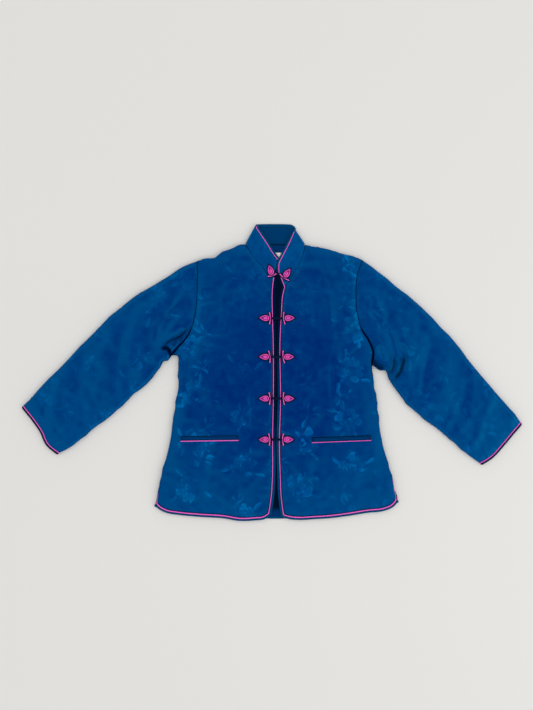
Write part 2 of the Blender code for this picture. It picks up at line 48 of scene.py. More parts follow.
# walls and gaps that the panels share
cloth = {
    "gap": 0.35 * mm,
    "seamGap": 0.15 * mm,  # between a sleeve and its armhole
    "backWall": 4.5 * mm,
    "backOut": 0.35 * mm,  # how far the back stands out under the side seams
    "frontLevel": 4.9 * mm,  # underside of the fronts
    "seamWall": 5.7 * mm,  # at a seam
    "pad": 6.0 * mm,  # full loft
    "padReach": 14 * mm,
    "crown": 2.4 * mm,
    "crownReach": 95 * mm,
    "gatherReach": 5 * mm,  # how far in the gathers reach their height
    "foldFade": (0.04, 1.6),  # how a fold fades at its ends: least share, and gain
    "rim": 1.1 * mm,  # how far in a seam rounds over
    "rimMiddle": 1.0 * mm,
    "ditch": (1.9 * mm, 0.7 * mm, 1.9 * mm),  # beside the piping: distance from it, width and depth
    "paintedDitchShade": (1.9 * mm, 2.4 * mm, 0.7),  # painted shade in the ditch beside the piping: distance, width and share
    "paintedSeamShade": (3.2 * mm, 0.75, 0.3),  # painted shade beside the armhole: width, share at the underarm, least above
    "rimSteps": (0.3, 0.7, 1.1, 1.6, 2.2, 3.0),  # extra grid lines along a rim, mm
    "underarmRim": 2.0 * mm,  # added to the rim at the underarm, where the seam is a deep groove
    "underarmReach": 46 * mm,
    "underarmPuff": 0.78,  # how much sooner the padding rises there
}

# outlines at the piping line in mm: right x, right y, left x, left y
outline = {
    "shoulder": [  # sleeve to neck
        (-186, 277.5, 227.5, 280),
        (-168, 284, 204, 289),
        (-139, 287, 171, 298),
        (-128.5, 297, 138, 308.5),
        (-100.5, 308, 108, 313.5),
        (-87, 315.5, 96, 316),
        (-66, 319.5, 85, 317.5),
    ],
    "neck": [  # shoulder to front edge
        (-66, 319.5, 85, 317.5),
        (-55, 303, 77, 291),
        (-33, 274.5, 67, 268),
        (-19.5, 259, 56, 250),
        (-10, 240, 45, 229),
        (4, 226, 33, 213),
    ],
    "armhole": [  # shoulder to underarm
        (-186, 277.5, 227.5, 280),
        (-185.5, 241, 214, 242),
        (-185.5, 205, 211, 200),
        (-189, 155, 216, 137.5),
        (-203, 104, 225, 109),
        (-219, 79.5, 243, 83),
        (-237, 61, 256, 50),
        (-251, 42, 252, 18),
    ],
    "side": [  # underarm to hem
        (-251, 42, 252, 18),
        (-243, 43, 251.5, 12.5),
        (-235, 39.5, 251.5, 6),
        (-233, 20, 254, -8),
        (-233.5, -30, 257.5, -30),
        (-242.5, -90, 265, -90),
        (-256, -180, 276, -175),
        (-279, -270, 303, -272),
        (-283, -305, 310, -306),
        (-287, -328, 311, -320),
    ],
    "edge": [  # neck to hem
        (4, 226, 33, 213),
        (2, 205, 28, 192),
        (2.3, 142, 25, 150),
        (4, 80, 21.3, 80),
        (4.3, -70, 22.8, -70),
        (2.5, -170, 19.8, -182),
        (1.8, -270, 22, -262),
        (-0.8, -310, 24.2, -312),
        (-7, -353, 30, -357),
    ],
    "hem": [  # front edge to vent
        (-7, -353, 30, -357),
        (-19, -361, 49, -361.5),
        (-41, -364, 72, -363),
        (-84, -365, 106, -361),
        (-112, -360, 141, -359),
        (-181, -355, 190, -353),
        (-234, -350, 240, -345),
        (-262, -345, 281, -340),
        (-279, -336, 300, -332),
        (-287, -328, 311, -320),
    ],
    "upper": [  # a sleeve's folded edge, shoulder to cuff
        (-186, 277.5, 227.5, 280),
        (-212, 267.5, 254.5, 261.5),
        (-236, 255, 279.5, 240.5),
        (-283, 223.5, 336, 195),
        (-336, 195, 386, 150),
        (-392.5, 148.5, 445, 91),
        (-454.5, 88.5, 493, 31.5),
        (-511.5, 27.5, 542.5, -28.5),
        (-570, -31, 589.5, -82.5),
        (-596, -59, 609, -106),
        (-621, -84, 623, -125.5),
    ],
    "lower": [  # a sleeve's seamed edge, underarm to cuff
        (-251, 42, 252, 18),
        (-259, 28.5, 273, 4),
        (-271.5, 25, 284.5, 2.5),
        (-282, 6, 290, -8),
        (-303.5, -19.5, 300, -30),
        (-347, -59, 322, -61),
        (-397, -107, 368, -106.5),
        (-456, -151, 425.5, -149.5),
        (-484, -174, 477.5, -196.5),
        (-520, -197.5, 498.5, -212.5),
        (-531, -202.5, 521.5, -228),
    ],
    "cuff": [
        (-621, -84, 623, -125.5),
        (-592, -120, 600.5, -151.5),
        (-572.5, -149, 575.5, -181.5),
        (-559, -178, 549, -210),
        (-531, -202.5, 521.5, -228),
    ],
    "collarTop": [  # fold to front end
        (-40.5, 363, 59, 354.5),
        (-27, 343, 51, 335),
        (-12, 321, 40.5, 313),
        (1, 299.5, 27.5, 288),
        (9, 288, 19.5, 271),
        (14.5, 281.5, 19, 248),
    ],
}
scallops = {  # how far the padding pushes an outline in and out, and the length of a swell, mm
    "shoulder": (1.0, 24),
    "side": (2.6, 22),
    "upper": (1.6, 26),
    "lower": (1.8, 21),
}
scallopRun = 400  # the length that every seam counts as there, mm
scallopFade = 12  # they fade over this part of a seam at each end
scallopSeed = 11
scallopRow = 7.3  # the row of the noise that they follow
backLines = {  # lines across the back in mm, right to left
    "hem": [(-290.5, -330.5), (-264, -342), (-179, -350), (-79, -357), (11, -360.5),
            (96, -357), (196, -347), (281, -335), (315.5, -320.5)],
    "neck": [(-66, 319.5), (-24, 318.5), (10, 317.5), (46, 317), (85, 317.5)],
    "collarTop": [(-40.5, 363), (-14, 364), (9, 364), (35, 363.5), (50, 362), (59, 354.5)],
}


def lengthsAlong(path):
    return np.concatenate([[0], np.cumsum(np.linalg.norm(np.diff(path, axis=0), axis=1))])


def endSpan(lengths):  # distance to the nearer end of a line
    return np.minimum(lengths - lengths[0], lengths[-1] - lengths)


def walk(path, lengths):
    return np.stack([np.interp(lengths, lengthsAlong(path), axis) for axis in path.T], axis=1)


def resample(path, step):
    total = lengthsAlong(path)[-1]
    return walk(path, np.linspace(0, total, max(2, round(total / step)) + 1))


def unit(vectors):
    return vectors / np.maximum(np.linalg.norm(vectors, axis=-1, keepdims=True), 1e-12)


def bell(gone, reach):  # 1 at nothing gone, fading over a reach
    return np.exp(-((gone / reach) ** 2))


def rise(span, reach):
    return 1 - (1 - np.clip(span / reach, 0, 1)) ** 2


def roundOver(span, reach):
    return np.sqrt(rise(span, reach))


def evened(values, reach):  # moving average
    kernel = np.ones(2 * reach + 1) / (2 * reach + 1)
    return np.convolve(np.pad(values, reach, mode="edge"), kernel, mode="valid")


def softNoise(x, y, size, seed, cells=97):  # smooth bumps, about -1 to 1
    lattice = np.random.default_rng(seed).uniform(-1, 1, (cells, cells))
    gx, gy = x / size, y / size
    ix, iy = np.floor(gx).astype(int), np.floor(gy).astype(int)
    fx, fy = gx - ix, gy - iy
    fx, fy = fx * fx * (3 - 2 * fx), fy * fy * (3 - 2 * fy)

    def corner(dx, dy):
        return lattice[(ix + dx) % cells, (iy + dy) % cells]

    low = corner(0, 0) * (1 - fx) + corner(1, 0) * fx
    high = corner(0, 1) * (1 - fx) + corner(1, 1) * fx
    return low * (1 - fy) + high * fy


def smoothLine(points, shares):  # the curve through these points, at shares of its length
    knots = lengthsAlong(points)
    slopes = np.gradient(points, knots, axis=0)
    fine = np.linspace(0, knots[-1], 40 * len(points))
    span = np.clip(np.searchsorted(knots, fine, side="right") - 1, 0, len(knots) - 2)
    width = (knots[span + 1] - knots[span])[:, None]
    t = (fine - knots[span])[:, None] / width
    curve = (
        (2 * t**3 - 3 * t**2 + 1) * points[span]
        + (t**3 - 2 * t**2 + t) * width * slopes[span]
        + (3 * t**2 - 2 * t**3) * points[span + 1]
        + (t**3 - t**2) * width * slopes[span + 1]
    )
    return walk(curve, shares * lengthsAlong(curve)[-1])


def backLine(name, shares):
    return smoothLine(np.array(backLines[name]) * mm, shares)


def sideways(path):  # plan normals, to the right of the way along
    way = unit(np.gradient(path, axis=0))
    return np.stack([way[:, 1], -way[:, 0]], axis=1)


def outward(path, awayFrom):  # plan normals on the side away from a point
    normal, middle = sideways(path), len(path) // 2
    return normal * np.sign(normal[middle] @ (path[middle] - awayFrom))


def seam(name, side, shares):
    rows = np.array(outline[name]) * mm
    path = smoothLine(rows[:, :2] if side == "right" else rows[:, 2:], shares)
    if name not in scallops or len(path) < 2:
        return path
    depth, size = scallops[name]
    length = shares * scallopRun
    fade = np.clip(np.minimum(shares, 1 - shares) * scallopFade, 0, 1)
    noise = softNoise(length, np.full_like(length, scallopRow), size, scallopSeed + len(name))
    return path + (depth * mm * fade * noise)[:, None] * sideways(path)


def seamPoint(name, side, share):
    return seam(name, side, np.array([float(share)]))[0]


def seamLength(name, side):
    return lengthsAlong(seam(name, side, np.linspace(0, 1, 60)))[-1]


def gridShares(length, step, start=False, end=False):  # even shares, with extra lines along a rim
    shares = [np.linspace(0, 1, round(length / step) + 1)]
    near = np.array(cloth["rimSteps"]) * mm / length
    if start:
        shares.append(near)
    if end:
        shares.append(1 - near)
    return np.unique(np.concatenate(shares).round(6))


def splitShares(first, second, split):  # two runs of shares, one after the other
    return np.concatenate([first * split, split + second[1:] * (1 - split)])


def gradedShares(length, stepAt):  # shares of a line whose steps change along it
    places = [0.0]
    while places[-1] < length:
        places.append(places[-1] + stepAt(places[-1]))
    return np.array(places) / places[-1]


def joined(*lines):
    return np.concatenate([lines[0], *(part[1:] for part in lines[1:])])


def thinned(path, most=60):
    return np.concatenate([path[: -1 : max(1, len(path) // most)], path[-1:]])


def polygonArea(loop):
    x, y = loop.T
    return abs(np.dot(x, np.roll(y, -1)) - np.dot(y, np.roll(x, -1))) / 2


def fillGrid(south, north, west, east, u, v, pull=1):  # plan points between four edges
    u, v = u[:, None, None], v[None, :, None]
    low, high = (1 - v) ** pull, v**pull  # a larger pull keeps the shape of south and north near them
    between = low * south[:, None] + high * north[:, None] + (1 - u) * west[None] + u * east[None]
    return between - (1 - u) * (low * south[0] + high * north[0]) - u * (low * south[-1] + high * north[-1])


def distanceTo(points, path):  # distance, and the share of the path where it is nearest
    best = np.full(points.shape[:-1], 1e9)
    share = np.zeros(points.shape[:-1])
    lengths = lengthsAlong(path)
    for start, end, first, last in zip(path[:-1], path[1:], lengths[:-1], lengths[1:]):
        way = end - start
        t = np.clip(((points - start) @ way) / max(way @ way, 1e-15), 0, 1)
        gone = np.linalg.norm(points - start - t[..., None] * way, axis=-1)
        nearer = gone < best
        best = np.where(nearer, gone, best)
        share = np.where(nearer, (first + t * (last - first)) / lengths[-1], share)
    return best, share


def spanTo(points, *paths):  # distance to the nearest of some paths
    return np.min([distanceTo(points, path)[0] for path in paths], axis=0)


def foldHeights(points, folds):  # ridges, and creases where the height is negative; they fade at their ends
    height = np.zeros(points.shape[:-1])
    least, gain = cloth["foldFade"]
    for *path, width, tall in folds:
        gone, share = distanceTo(points, smoothLine(np.array(path, float) * mm, np.linspace(0, 1, 13)))
        fade = np.clip(np.sin(np.pi * np.clip(share, least, 1 - least)) * gain, 0, 1)
        height += tall * mm * fade * bell(gone, width * mm)
    return height


def underarmAt(plan, side):  # 1 at the underarm, fading away from it
    return bell(np.linalg.norm(plan - seamPoint("armhole", side, 1), axis=-1), cloth["underarmReach"])


def rimAt(near):  # how far in a seam rounds over, widest at the underarm
    return cloth["rim"] + cloth["underarmRim"] * near


def reachAt(near):  # how far in the padding reaches its full loft
    return cloth["padReach"] * (1 - cloth["underarmPuff"] * near)


def paintedSeamShade(gone, near):  # painted shade on the cloth beside the armhole
    wide, shade, above = cloth["paintedSeamShade"]
    return shade * np.maximum(near, above) * bell(gone, wide)


def lifted(plan, height):
    return np.concatenate([plan, np.broadcast_to(height, plan.shape[:-1])[..., None]], axis=-1)


def nodeName(name):  # bindingFrontRight stands for binding_front_right, leaf1Left for leaf_1_left
    return re.sub("(?<=[a-z0-9])(?=[A-Z0-9])", "_", name).lower()


def addPiece(name, parts, coat, slot, node=None):  # parts: points, faces, corner uvs, finishes, painted shade of tucks and seams
    points, faces, corners, picks, paintedShades = [], [], [], [], []
    for partPoints, partFaces, partUvs, pick, *tuck in parts:
        first = sum(len(block) for block in points)
        points.append(partPoints)
        faces += [[first + int(index) for index in face] for face in partFaces]
        corners.append(partUvs.reshape(-1, 2))
        paintedShades.append(tuck[0] if tuck else np.zeros(len(corners[-1])))
        picks += [pick] * len(partFaces) if np.isscalar(pick) else list(pick)
    mesh = bpy.data.meshes.new(name)
    mesh.from_pydata(np.concatenate(points).tolist(), [], faces)
    mesh.uv_layers.new(name="cloth").data.foreach_set("uv", np.concatenate(corners).ravel())
    if slot == "silk":  # painted shade of tucks and seams, for the shader
        shades = np.concatenate(paintedShades)
        mesh.uv_layers.new(name="tuck").data.foreach_set("uv", np.stack([shades, 0 * shades], axis=1).ravel())
    mesh.polygons.foreach_set("material_index", np.array(picks, dtype=np.int32))
    work = bmesh.new()
    work.from_mesh(mesh)
    bmesh.ops.recalc_face_normals(work, faces=work.faces)
    work.to_mesh(mesh)
    work.free()
    mesh.shade_smooth()
    for finish in coat:
        mesh.materials.append(finishes[finish])
    piece = bpy.data.objects.new(name, mesh)
    bpy.context.scene.collection.objects.link(piece)
    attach(piece, "root")
    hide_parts(node or nodeName(name))
    made[name] = piece
    return piece


def numbered(rows, columns, first=0, ring=False):  # point numbers of a grid, closed round a ring
    index = first + np.arange(rows * columns).reshape(rows, columns)
    return np.concatenate([index, index[:, :1]], axis=1) if ring else index


def quads(grid):  # the four corners of each cell
    return np.stack([grid[:-1, :-1], grid[1:, :-1], grid[1:, 1:], grid[:-1, 1:]], axis=2)


def gridOf(rows, columns):
    return np.stack(np.meshgrid(rows, columns, indexing="ij"), axis=-1)


def wallPart(top, under, uv, picks=(0, 0), ring=False, underUv=None, tuck=None):  # a closed wall of two grids
    underUv = uv if underUv is None else underUv
    if ring:
        top, under = top[:, :-1], under[:, :-1]
    upper = numbered(*top.shape[:2], 0, ring)
    lower = numbered(*under.shape[:2], top.shape[0] * top.shape[1], ring)
    faces = [quads(upper).reshape(-1, 4), quads(lower).reshape(-1, 4)[:, ::-1]]
    uvs = [quads(uv).reshape(-1, 4, 2), quads(underUv).reshape(-1, 4, 2)[:, ::-1]]
    borders = [(upper[0], lower[0], uv[0]), (upper[-1], lower[-1], uv[-1])]
    if not ring:
        borders += [(upper[:, 0], lower[:, 0], uv[:, 0]), (upper[:, -1], lower[:, -1], uv[:, -1])]
    for high, low, lineUv in borders:
        faces.append(np.stack([high[:-1], high[1:], low[1:], low[:-1]], axis=1))
        uvs.append(np.stack([lineUv[:-1], lineUv[1:], lineUv[1:], lineUv[:-1]], axis=1))
    rim = sum(len(block) for block in faces[2:])
    pick = np.repeat([*picks, 0], [len(faces[0]), len(faces[1]), rim])
    points = np.concatenate([top.reshape(-1, 3), under.reshape(-1, 3)])
    shades = np.zeros(4 * len(pick))
    # painted shade of tucks and seams, on the top faces only
    if tuck is not None:
        shades[: 4 * len(faces[0])] = quads(tuck).ravel()
    return points, np.concatenate(faces), np.concatenate(uvs), pick, shades


def tubePart(rings, uv, pick=0):  # rings of points, closed at both ends
    index = numbered(*rings.shape[:2], ring=True)
    faces = [*quads(index).reshape(-1, 4).tolist(), index[0, :-1].tolist(), index[-1, :-1].tolist()]
    uvs = np.concatenate([quads(uv).reshape(-1, 2), uv[0, :-1], uv[-1, :-1]])
    return rings.reshape(-1, 3), faces, uvs, pick


def sweepPart(path, profile, pick=0, across=None, scale=1.0):  # a profile swept along a path
    way = unit(np.gradient(path, axis=0))
    if across is None:
        across = unit(np.cross(way, (0, 0, 1)))
    over = unit(np.cross(across, way))
    scale = scale * np.ones(len(path))
    reach = np.abs(profile[:, 1]).max()
    turns = np.radians((80, 55, 28))  # a few shrinking rings close each end
    starts = path[0] - np.sin(turns)[:, None] * reach * scale[0] * way[0]
    ends = path[-1] + np.sin(turns[::-1])[:, None] * reach * scale[-1] * way[-1]
    path = np.concatenate([starts, path, ends])
    across, over = (np.pad(axis, ((3, 3), (0, 0)), mode="edge") for axis in (across, over))
    scale = np.concatenate([np.cos(turns) * scale[0], scale, np.cos(turns[::-1]) * scale[-1]])
    offset = profile[None, :, :1] * across[:, None] + profile[None, :, 1:] * over[:, None]
    around = lengthsAlong(np.concatenate([profile, profile[:1]]))
    return tubePart(path[:, None] + scale[:, None, None] * offset, gridOf(lengthsAlong(path), around), pick)


def roundProfile(radius, count=12):
    turn = np.arange(count) * 2 * math.pi / count
    return radius * np.stack([np.cos(turn), np.sin(turn)], axis=1)


def tapeProfile(width, thick, count=18, squareness=(0.55, 0.6)):  # a flat tape with rounded edges
    circle = roundProfile(1.0, count)
    return np.sign(circle) * np.abs(circle) ** squareness * (width / 2, thick / 2)


def heightsOn(names, plan, margin):  # top of these pieces at plan points, the highest within a margin
    trees = [BVHTree.FromObject(made[name], bpy.context.evaluated_depsgraph_get()) for name in names]
    ring = [(0, 0), *((margin * math.cos(a), margin * math.sin(a)) for a in np.arange(6) * math.pi / 3)]
    heights = np.zeros(plan.shape[:-1])
    for index in np.ndindex(heights.shape):
        x, y = plan[index]
        for tree in trees:
            for dx, dy in ring:
                hit = tree.ray_cast(Vector((x + dx, y + dy, 1)), Vector((0, 0, -1)))[0]
                if hit:
                    heights[index] = max(heights[index], hit.z)
    return heights


def groundUnder(names, plan, skip, margin):  # the same over a grid, read at some of its points
    coarse = heightsOn(names, plan[:: skip[0], :: skip[1]], margin)
    rows, columns = (np.arange(count) for count in plan.shape[:2])
    ground = np.array([np.interp(rows, rows[:: skip[0]], column) for column in coarse.T]).T
    return np.array([np.interp(columns, columns[:: skip[1]], row) for row in ground])


class Wire:  # a node socket that Python operators work on
    def __init__(self, tree, socket=None):
        self.tree, self.socket = tree, socket

    def node(self, kind, settings=None, values=None, out=0):  # any node: its settings first, then its sockets
        new = self.tree.nodes.new("ShaderNode" + kind)
        for key, value in (settings or {}).items():
            setattr(new, key, value)
        for key, value in (values or {}).items():
            feed(new.inputs[key], value)
        return Wire(self.tree, new.outputs[out])

    def math(self, operation, *values, clamp=False):
        return self.node("Math", {"operation": operation, "use_clamp": clamp}, dict(enumerate(values)))

    def __add__(self, other):
        return self.math("ADD", self, other)

    def __radd__(self, other):
        return self.math("ADD", other, self)

    def __sub__(self, other):
        return self.math("SUBTRACT", self, other)

    def __rsub__(self, other):
        return self.math("SUBTRACT", other, self)

    def __mul__(self, other):
        return self.math("MULTIPLY", self, other)

    def __rmul__(self, other):
        return self.math("MULTIPLY", other, self)

    def __truediv__(self, other):
        return self.math("DIVIDE", self, other)

    def __rtruediv__(self, other):
        return self.math("DIVIDE", other, self)

    def __pow__(self, other):
        return self.math("POWER", self, other)

    def __rpow__(self, other):
        return self.math("POWER", other, self)

    def __abs__(self):
        return self.math("ABSOLUTE", self)

    def sin(self):
        return self.math("SINE", self)

    def cos(self):
        return self.math("COSINE", self)

    def floor(self):
        return self.math("FLOOR", self)

    def wrapped(self):  # 0 to 1, over and over
        return self.math("FRACT", self)

    def larger(self, other):
        return self.math("MAXIMUM", self, other)

    def mask(self, soft):  # 0 below nothing, 1 above it, over a soft edge
        return self.math("MULTIPLY_ADD", self, 1 / soft, 0.5, clamp=True)

    def axes(self):
        split = self.node("SeparateXYZ", None, {0: self})
        return [Wire(self.tree, socket) for socket in split.socket.node.outputs]

    def shade(self, first, second):  # this wire mixes two colours
        return self.node("Mix", {"data_type": "RGBA"}, {0: self, 6: first, 7: second}, 2)

    def tones(self, colour, low, high):  # and here a dimmer and a lighter one
        return self.shade(toned(colour, low), toned(colour, high))


def feed(socket, value):  # a link, or a plain value
    if isinstance(value, Wire):
        value.tree.links.new(value.socket, socket)
    else:
        socket.default_value = value


def plug(shader, **values):  # sockets of a shader by their names, with _ for a space
    for key, value in values.items():
        feed(shader.inputs[key.replace("_", " ")], value)


def toned(colour, amount=1.0):
    return tuple(min(1, amount * part) for part in colour) + (1,)


def newFinish(name):  # a material, its nodes as a wire, and its shader
    material = bpy.data.materials.new(name)
    material.use_nodes = True
    return material, Wire(material.node_tree), material.node_tree.nodes["Principled BSDF"]


def newCloth(name):  # a material, its shader, and the cloth's own coordinates in metres
    material, wire, shader = newFinish(name)
    uv = wire.node("UVMap", {"uv_map": "cloth"})
    u, v, _ = uv.axes()
    return material, shader, uv, u, v


def noiseAt(where, scale, detail=2):
    return where.node("TexNoise", None, {"Vector": where, "Scale": scale, "Detail": detail})


def threads(way, pitch):  # a wave along a way, with its pitch in mm
    return (way * (2 * math.pi / (pitch * mm))).sin()


def raised(height):  # a bump of a height in mm
    return height.node("Bump", None, {"Distance": mm, "Height": height})


def dress(shader, look, colour, vary, height):  # what every plain finish sets
    rough, spread = look["rough"]
    level, tint = look["gloss"]
    plug(
        shader,
        Base_Color=colour,
        Roughness=rough + (vary - 0.5) * spread,
        Normal=raised(height),
        Specular_IOR_Level=level,
        Specular_Tint=(*tint, 1),
    )


damaskLook = {
    "groundDim": (0.0, 0.0118, 0.147),
    "groundLit": (0.0, 0.0222, 0.186),
    "drift": [(7, 3, 0.45), (46, 2, 0.55)],  # clouds of the ground: noise scale, detail and share
    "flower": (0.0, 0.098, 0.36),
    "wobble": (55, 47, 9),  # noise scales of a hand-drawn line, and how far it wanders, mm
    "bloomCell": (132, 118),  # half-drop repeat of the large flowers, mm
    "bloomSeed": 1.7,
    "bloomLuck": 0.2,  # share of the places left empty
    "bloomSize": (0.85, 0.4),  # the largest bloom, and how much smaller chance makes one
    "unevenPetals": (34, 1.3),  # noise scale, and how far a petal turns, radians
    "rings": [(8, 4, 2.6), (17, 6, 3.0), (27, 9, 3.3), (37, 11, 3.2)],  # radius, petals and lit width, mm
    "petalTip": (0.6, 1.8),  # light of a curled tip, and its softness, mm
    "petalBody": (0.42, 2, 6),  # light of the rest, and its softness outside and inside, mm
    "petalLuck": (0.06, 1.2, 2.6),  # least light, more by chance, and the power of that chance
    "bloomLeaves": [((47, 8), 0.4, 14, 5.2), ((-38, 30), 2.2, 13, 5), ((6, -50), -1.2, 15, 5.4)],
    "leafLight": (0.3, 0.5, 0.8, 1.2),  # dim half, more on the other; softness of the vein and edge, mm
    "sprigCell": (87, 79),
    "sprigSeed": 5.1,
    "sprigShift": (37, 21),
    "sprigLuck": 0.42,
    "sprigLeast": 0.4,  # light of the dimmest one
    "sprigStem": (0.8, 0.018, 4, 24, 0.5),  # half thickness, bend, drop, half length, light
    "sprigLeaves": [
        ((15, 10), 0.8, 11, 4.2),  # place, turn, half length and half width
        ((-13, 8), 2.3, 11, 4.2),
        ((3, -13), -1.3, 9, 3.6),
        ((-22, -9), 3.6, 8, 3),
    ],
    "sprigBud": ((4, 20), 1.4, 12, 7),  # a leaf too, but plump
    "sprigCurl": ((-26, 10), 2.0, 8, 0.25, 1.1),  # place, turn, size, share of it inside, half thickness
    "curlLight": 0.6,
    "patches": (16, 0.06, 1.4, 5),  # where flowers catch the light: noise scale, least, more, contrast
    "chestShade": ((24, -40), (285, 245), (0.0, 0.0034, 0.147)),  # painted shade over the chest and waist, the dimmest ground: middle, half size, colour
    "chestShadeEdge": (0.55, 0.9),  # where the painted shade ends, and its fade
    "chestFlowerShade": (0.28, 12, 105, 70, -55, 90),  # painted shade on the flowers over the chest: strength; middle, half, fade; foot, fade, mm
    "sleeveStrength": 0.42,
    "flowerShare": 0.95,
    "relief": 0.05,  # of the flowers, the threads and the crepe, mm
    "threadRelief": 0.002,
    "crepeRelief": 0.012,
    "crepeScale": 800,
    "thread": (0.85, 0.5),  # pitch in mm, and slant
    "rough": 0.26,
    "roughDrift": 0.3,
    "roughFlower": 0.06,
    "gloss": (0.0, 0.0552, 0.08),  # what it mirrors from straight above
    "bend": 1.15,  # index of refraction: low, so that the silk stays blue from the side
    "tuck": (0.0, 0.0035, 0.032),  # painted shade deep in a tuck or a seam
}
luckEdge = 0.02  # softness of the choice between a motif and an empty place


def motifCell(x, y, size, seed, scatter=0.2):  # place in a half-drop cell in mm, turned by chance; its number
    column = (x / size[0]).floor()
    drop = y / size[1] + (column * 0.5).wrapped()
    where = x.node("CombineXYZ", None, {0: column, 1: drop.floor(), 2: seed})
    chance = x.node("TexWhiteNoise", {"noise_dimensions": "3D"}, {0: where}, 1).axes()
    px = ((x / size[0]).wrapped() - 0.5 + (chance[0] - 0.5) * scatter) * size[0]
    py = (drop.wrapped() - 0.5 + (chance[1] - 0.5) * scatter) * size[1]
    turn = chance[2] * (2 * math.pi)
    c, s = turn.cos(), turn.sin()
    return px * c + py * s, py * c - px * s, where, chance


def petalRing(far, angle, where, look, ring):  # petals, each lit by chance along its curled tip
    radius, count, thick = ring
    place = angle * (count / (2 * math.pi)) + radius
    across = (place.wrapped() - 0.5) * 2
    hump = 1 - across * across
    tip = radius * (0.7 + 0.3 * hump)
    number = far.node("CombineXYZ", None, {0: place.floor(), 1: radius})
    spot = far.node("VectorMath", {"operation": "ADD"}, {0: where, 1: number})
    luck = far.node("TexWhiteNoise", {"noise_dimensions": "3D"}, {0: spot})
    tipLight, soft = look["petalTip"]
    bodyLight, softOut, softIn = look["petalBody"]
    least, more, power = look["petalLuck"]
    lit = (hump * thick - abs(far - tip)).mask(soft)
    body = (tip - far).mask(softOut) * (far - 0.5 * radius).mask(softIn)
    return (lit * tipLight + body * bodyLight) * (least + more * luck**power)


def leafMask(x, y, look, at, turn, long, wide):  # a pointed leaf, brighter on one side of its vein
    c, s = math.cos(turn), math.sin(turn)
    along = (x - at[0]) * c + (y - at[1]) * s
    off = (y - at[1]) * c - (x - at[0]) * s
    belly = (1 - (along / long) ** 2) * wide
    dim, more, vein, edge = look["leafLight"]
    return (belly - abs(off)).mask(edge) * (dim + more * off.mask(vein))


def curlMask(x, y, at, start, wide, least, thick):  # a tendril curling in
    dx, dy = x - at[0], y - at[1]
    far = (dx * dx + dy * dy) ** 0.5
    angle = (x.math("ARCTAN2", dy, dx) + (math.pi - start)) / (2 * math.pi)
    spiral = (least + (1 - least) * angle.wrapped()) * wide
    return (thick - abs(far - spiral)).mask(1.0)


def bloomMask(uv, x, y, look):  # large flowers of several sizes, petal by petal, and their leaves
    fx, fy, where, chance = motifCell(x, y, look["bloomCell"], look["bloomSeed"])
    full, smaller = look["bloomSize"]
    far = (fx * fx + fy * fy) ** 0.5 * (full + smaller * chance[0])
    scale, turn = look["unevenPetals"]
    angle = fx.math("ARCTAN2", fy, fx) + (noiseAt(uv, scale, 1) - 0.5) * turn
    bloom = petalRing(far, angle, where, look, look["rings"][0])
    for ring in look["rings"][1:]:
        bloom = bloom.larger(petalRing(far, angle, where, look, ring))
    for leaf in look["bloomLeaves"]:
        bloom = bloom.larger(leafMask(fx, fy, look, *leaf))
    return bloom * (chance[1] - look["bloomLuck"]).mask(luckEdge)


def sprigMask(x, y, look):  # small sprigs: a bent stem, leaves, a bud and a tendril
    shift = look["sprigShift"]
    sx, sy, _, luck = motifCell(x + shift[0], y + shift[1], look["sprigCell"], look["sprigSeed"])
    thick, bend, drop, half, light = look["sprigStem"]
    sprig = (thick - abs(sy - (sx * sx) * bend + drop)).mask(thick) * (half - abs(sx)).mask(2) * light
    for leaf in look["sprigLeaves"]:
        sprig = sprig.larger(leafMask(sx, sy, look, *leaf))
    sprig = sprig.larger(curlMask(sx, sy, *look["sprigCurl"]) * look["curlLight"])
    sprig = sprig.larger(leafMask(sx, sy, look, *look["sprigBud"]))
    least = look["sprigLeast"]
    return sprig * (luck[1] - look["sprigLuck"]).mask(luckEdge) * (least + (1 - least) * luck[0])


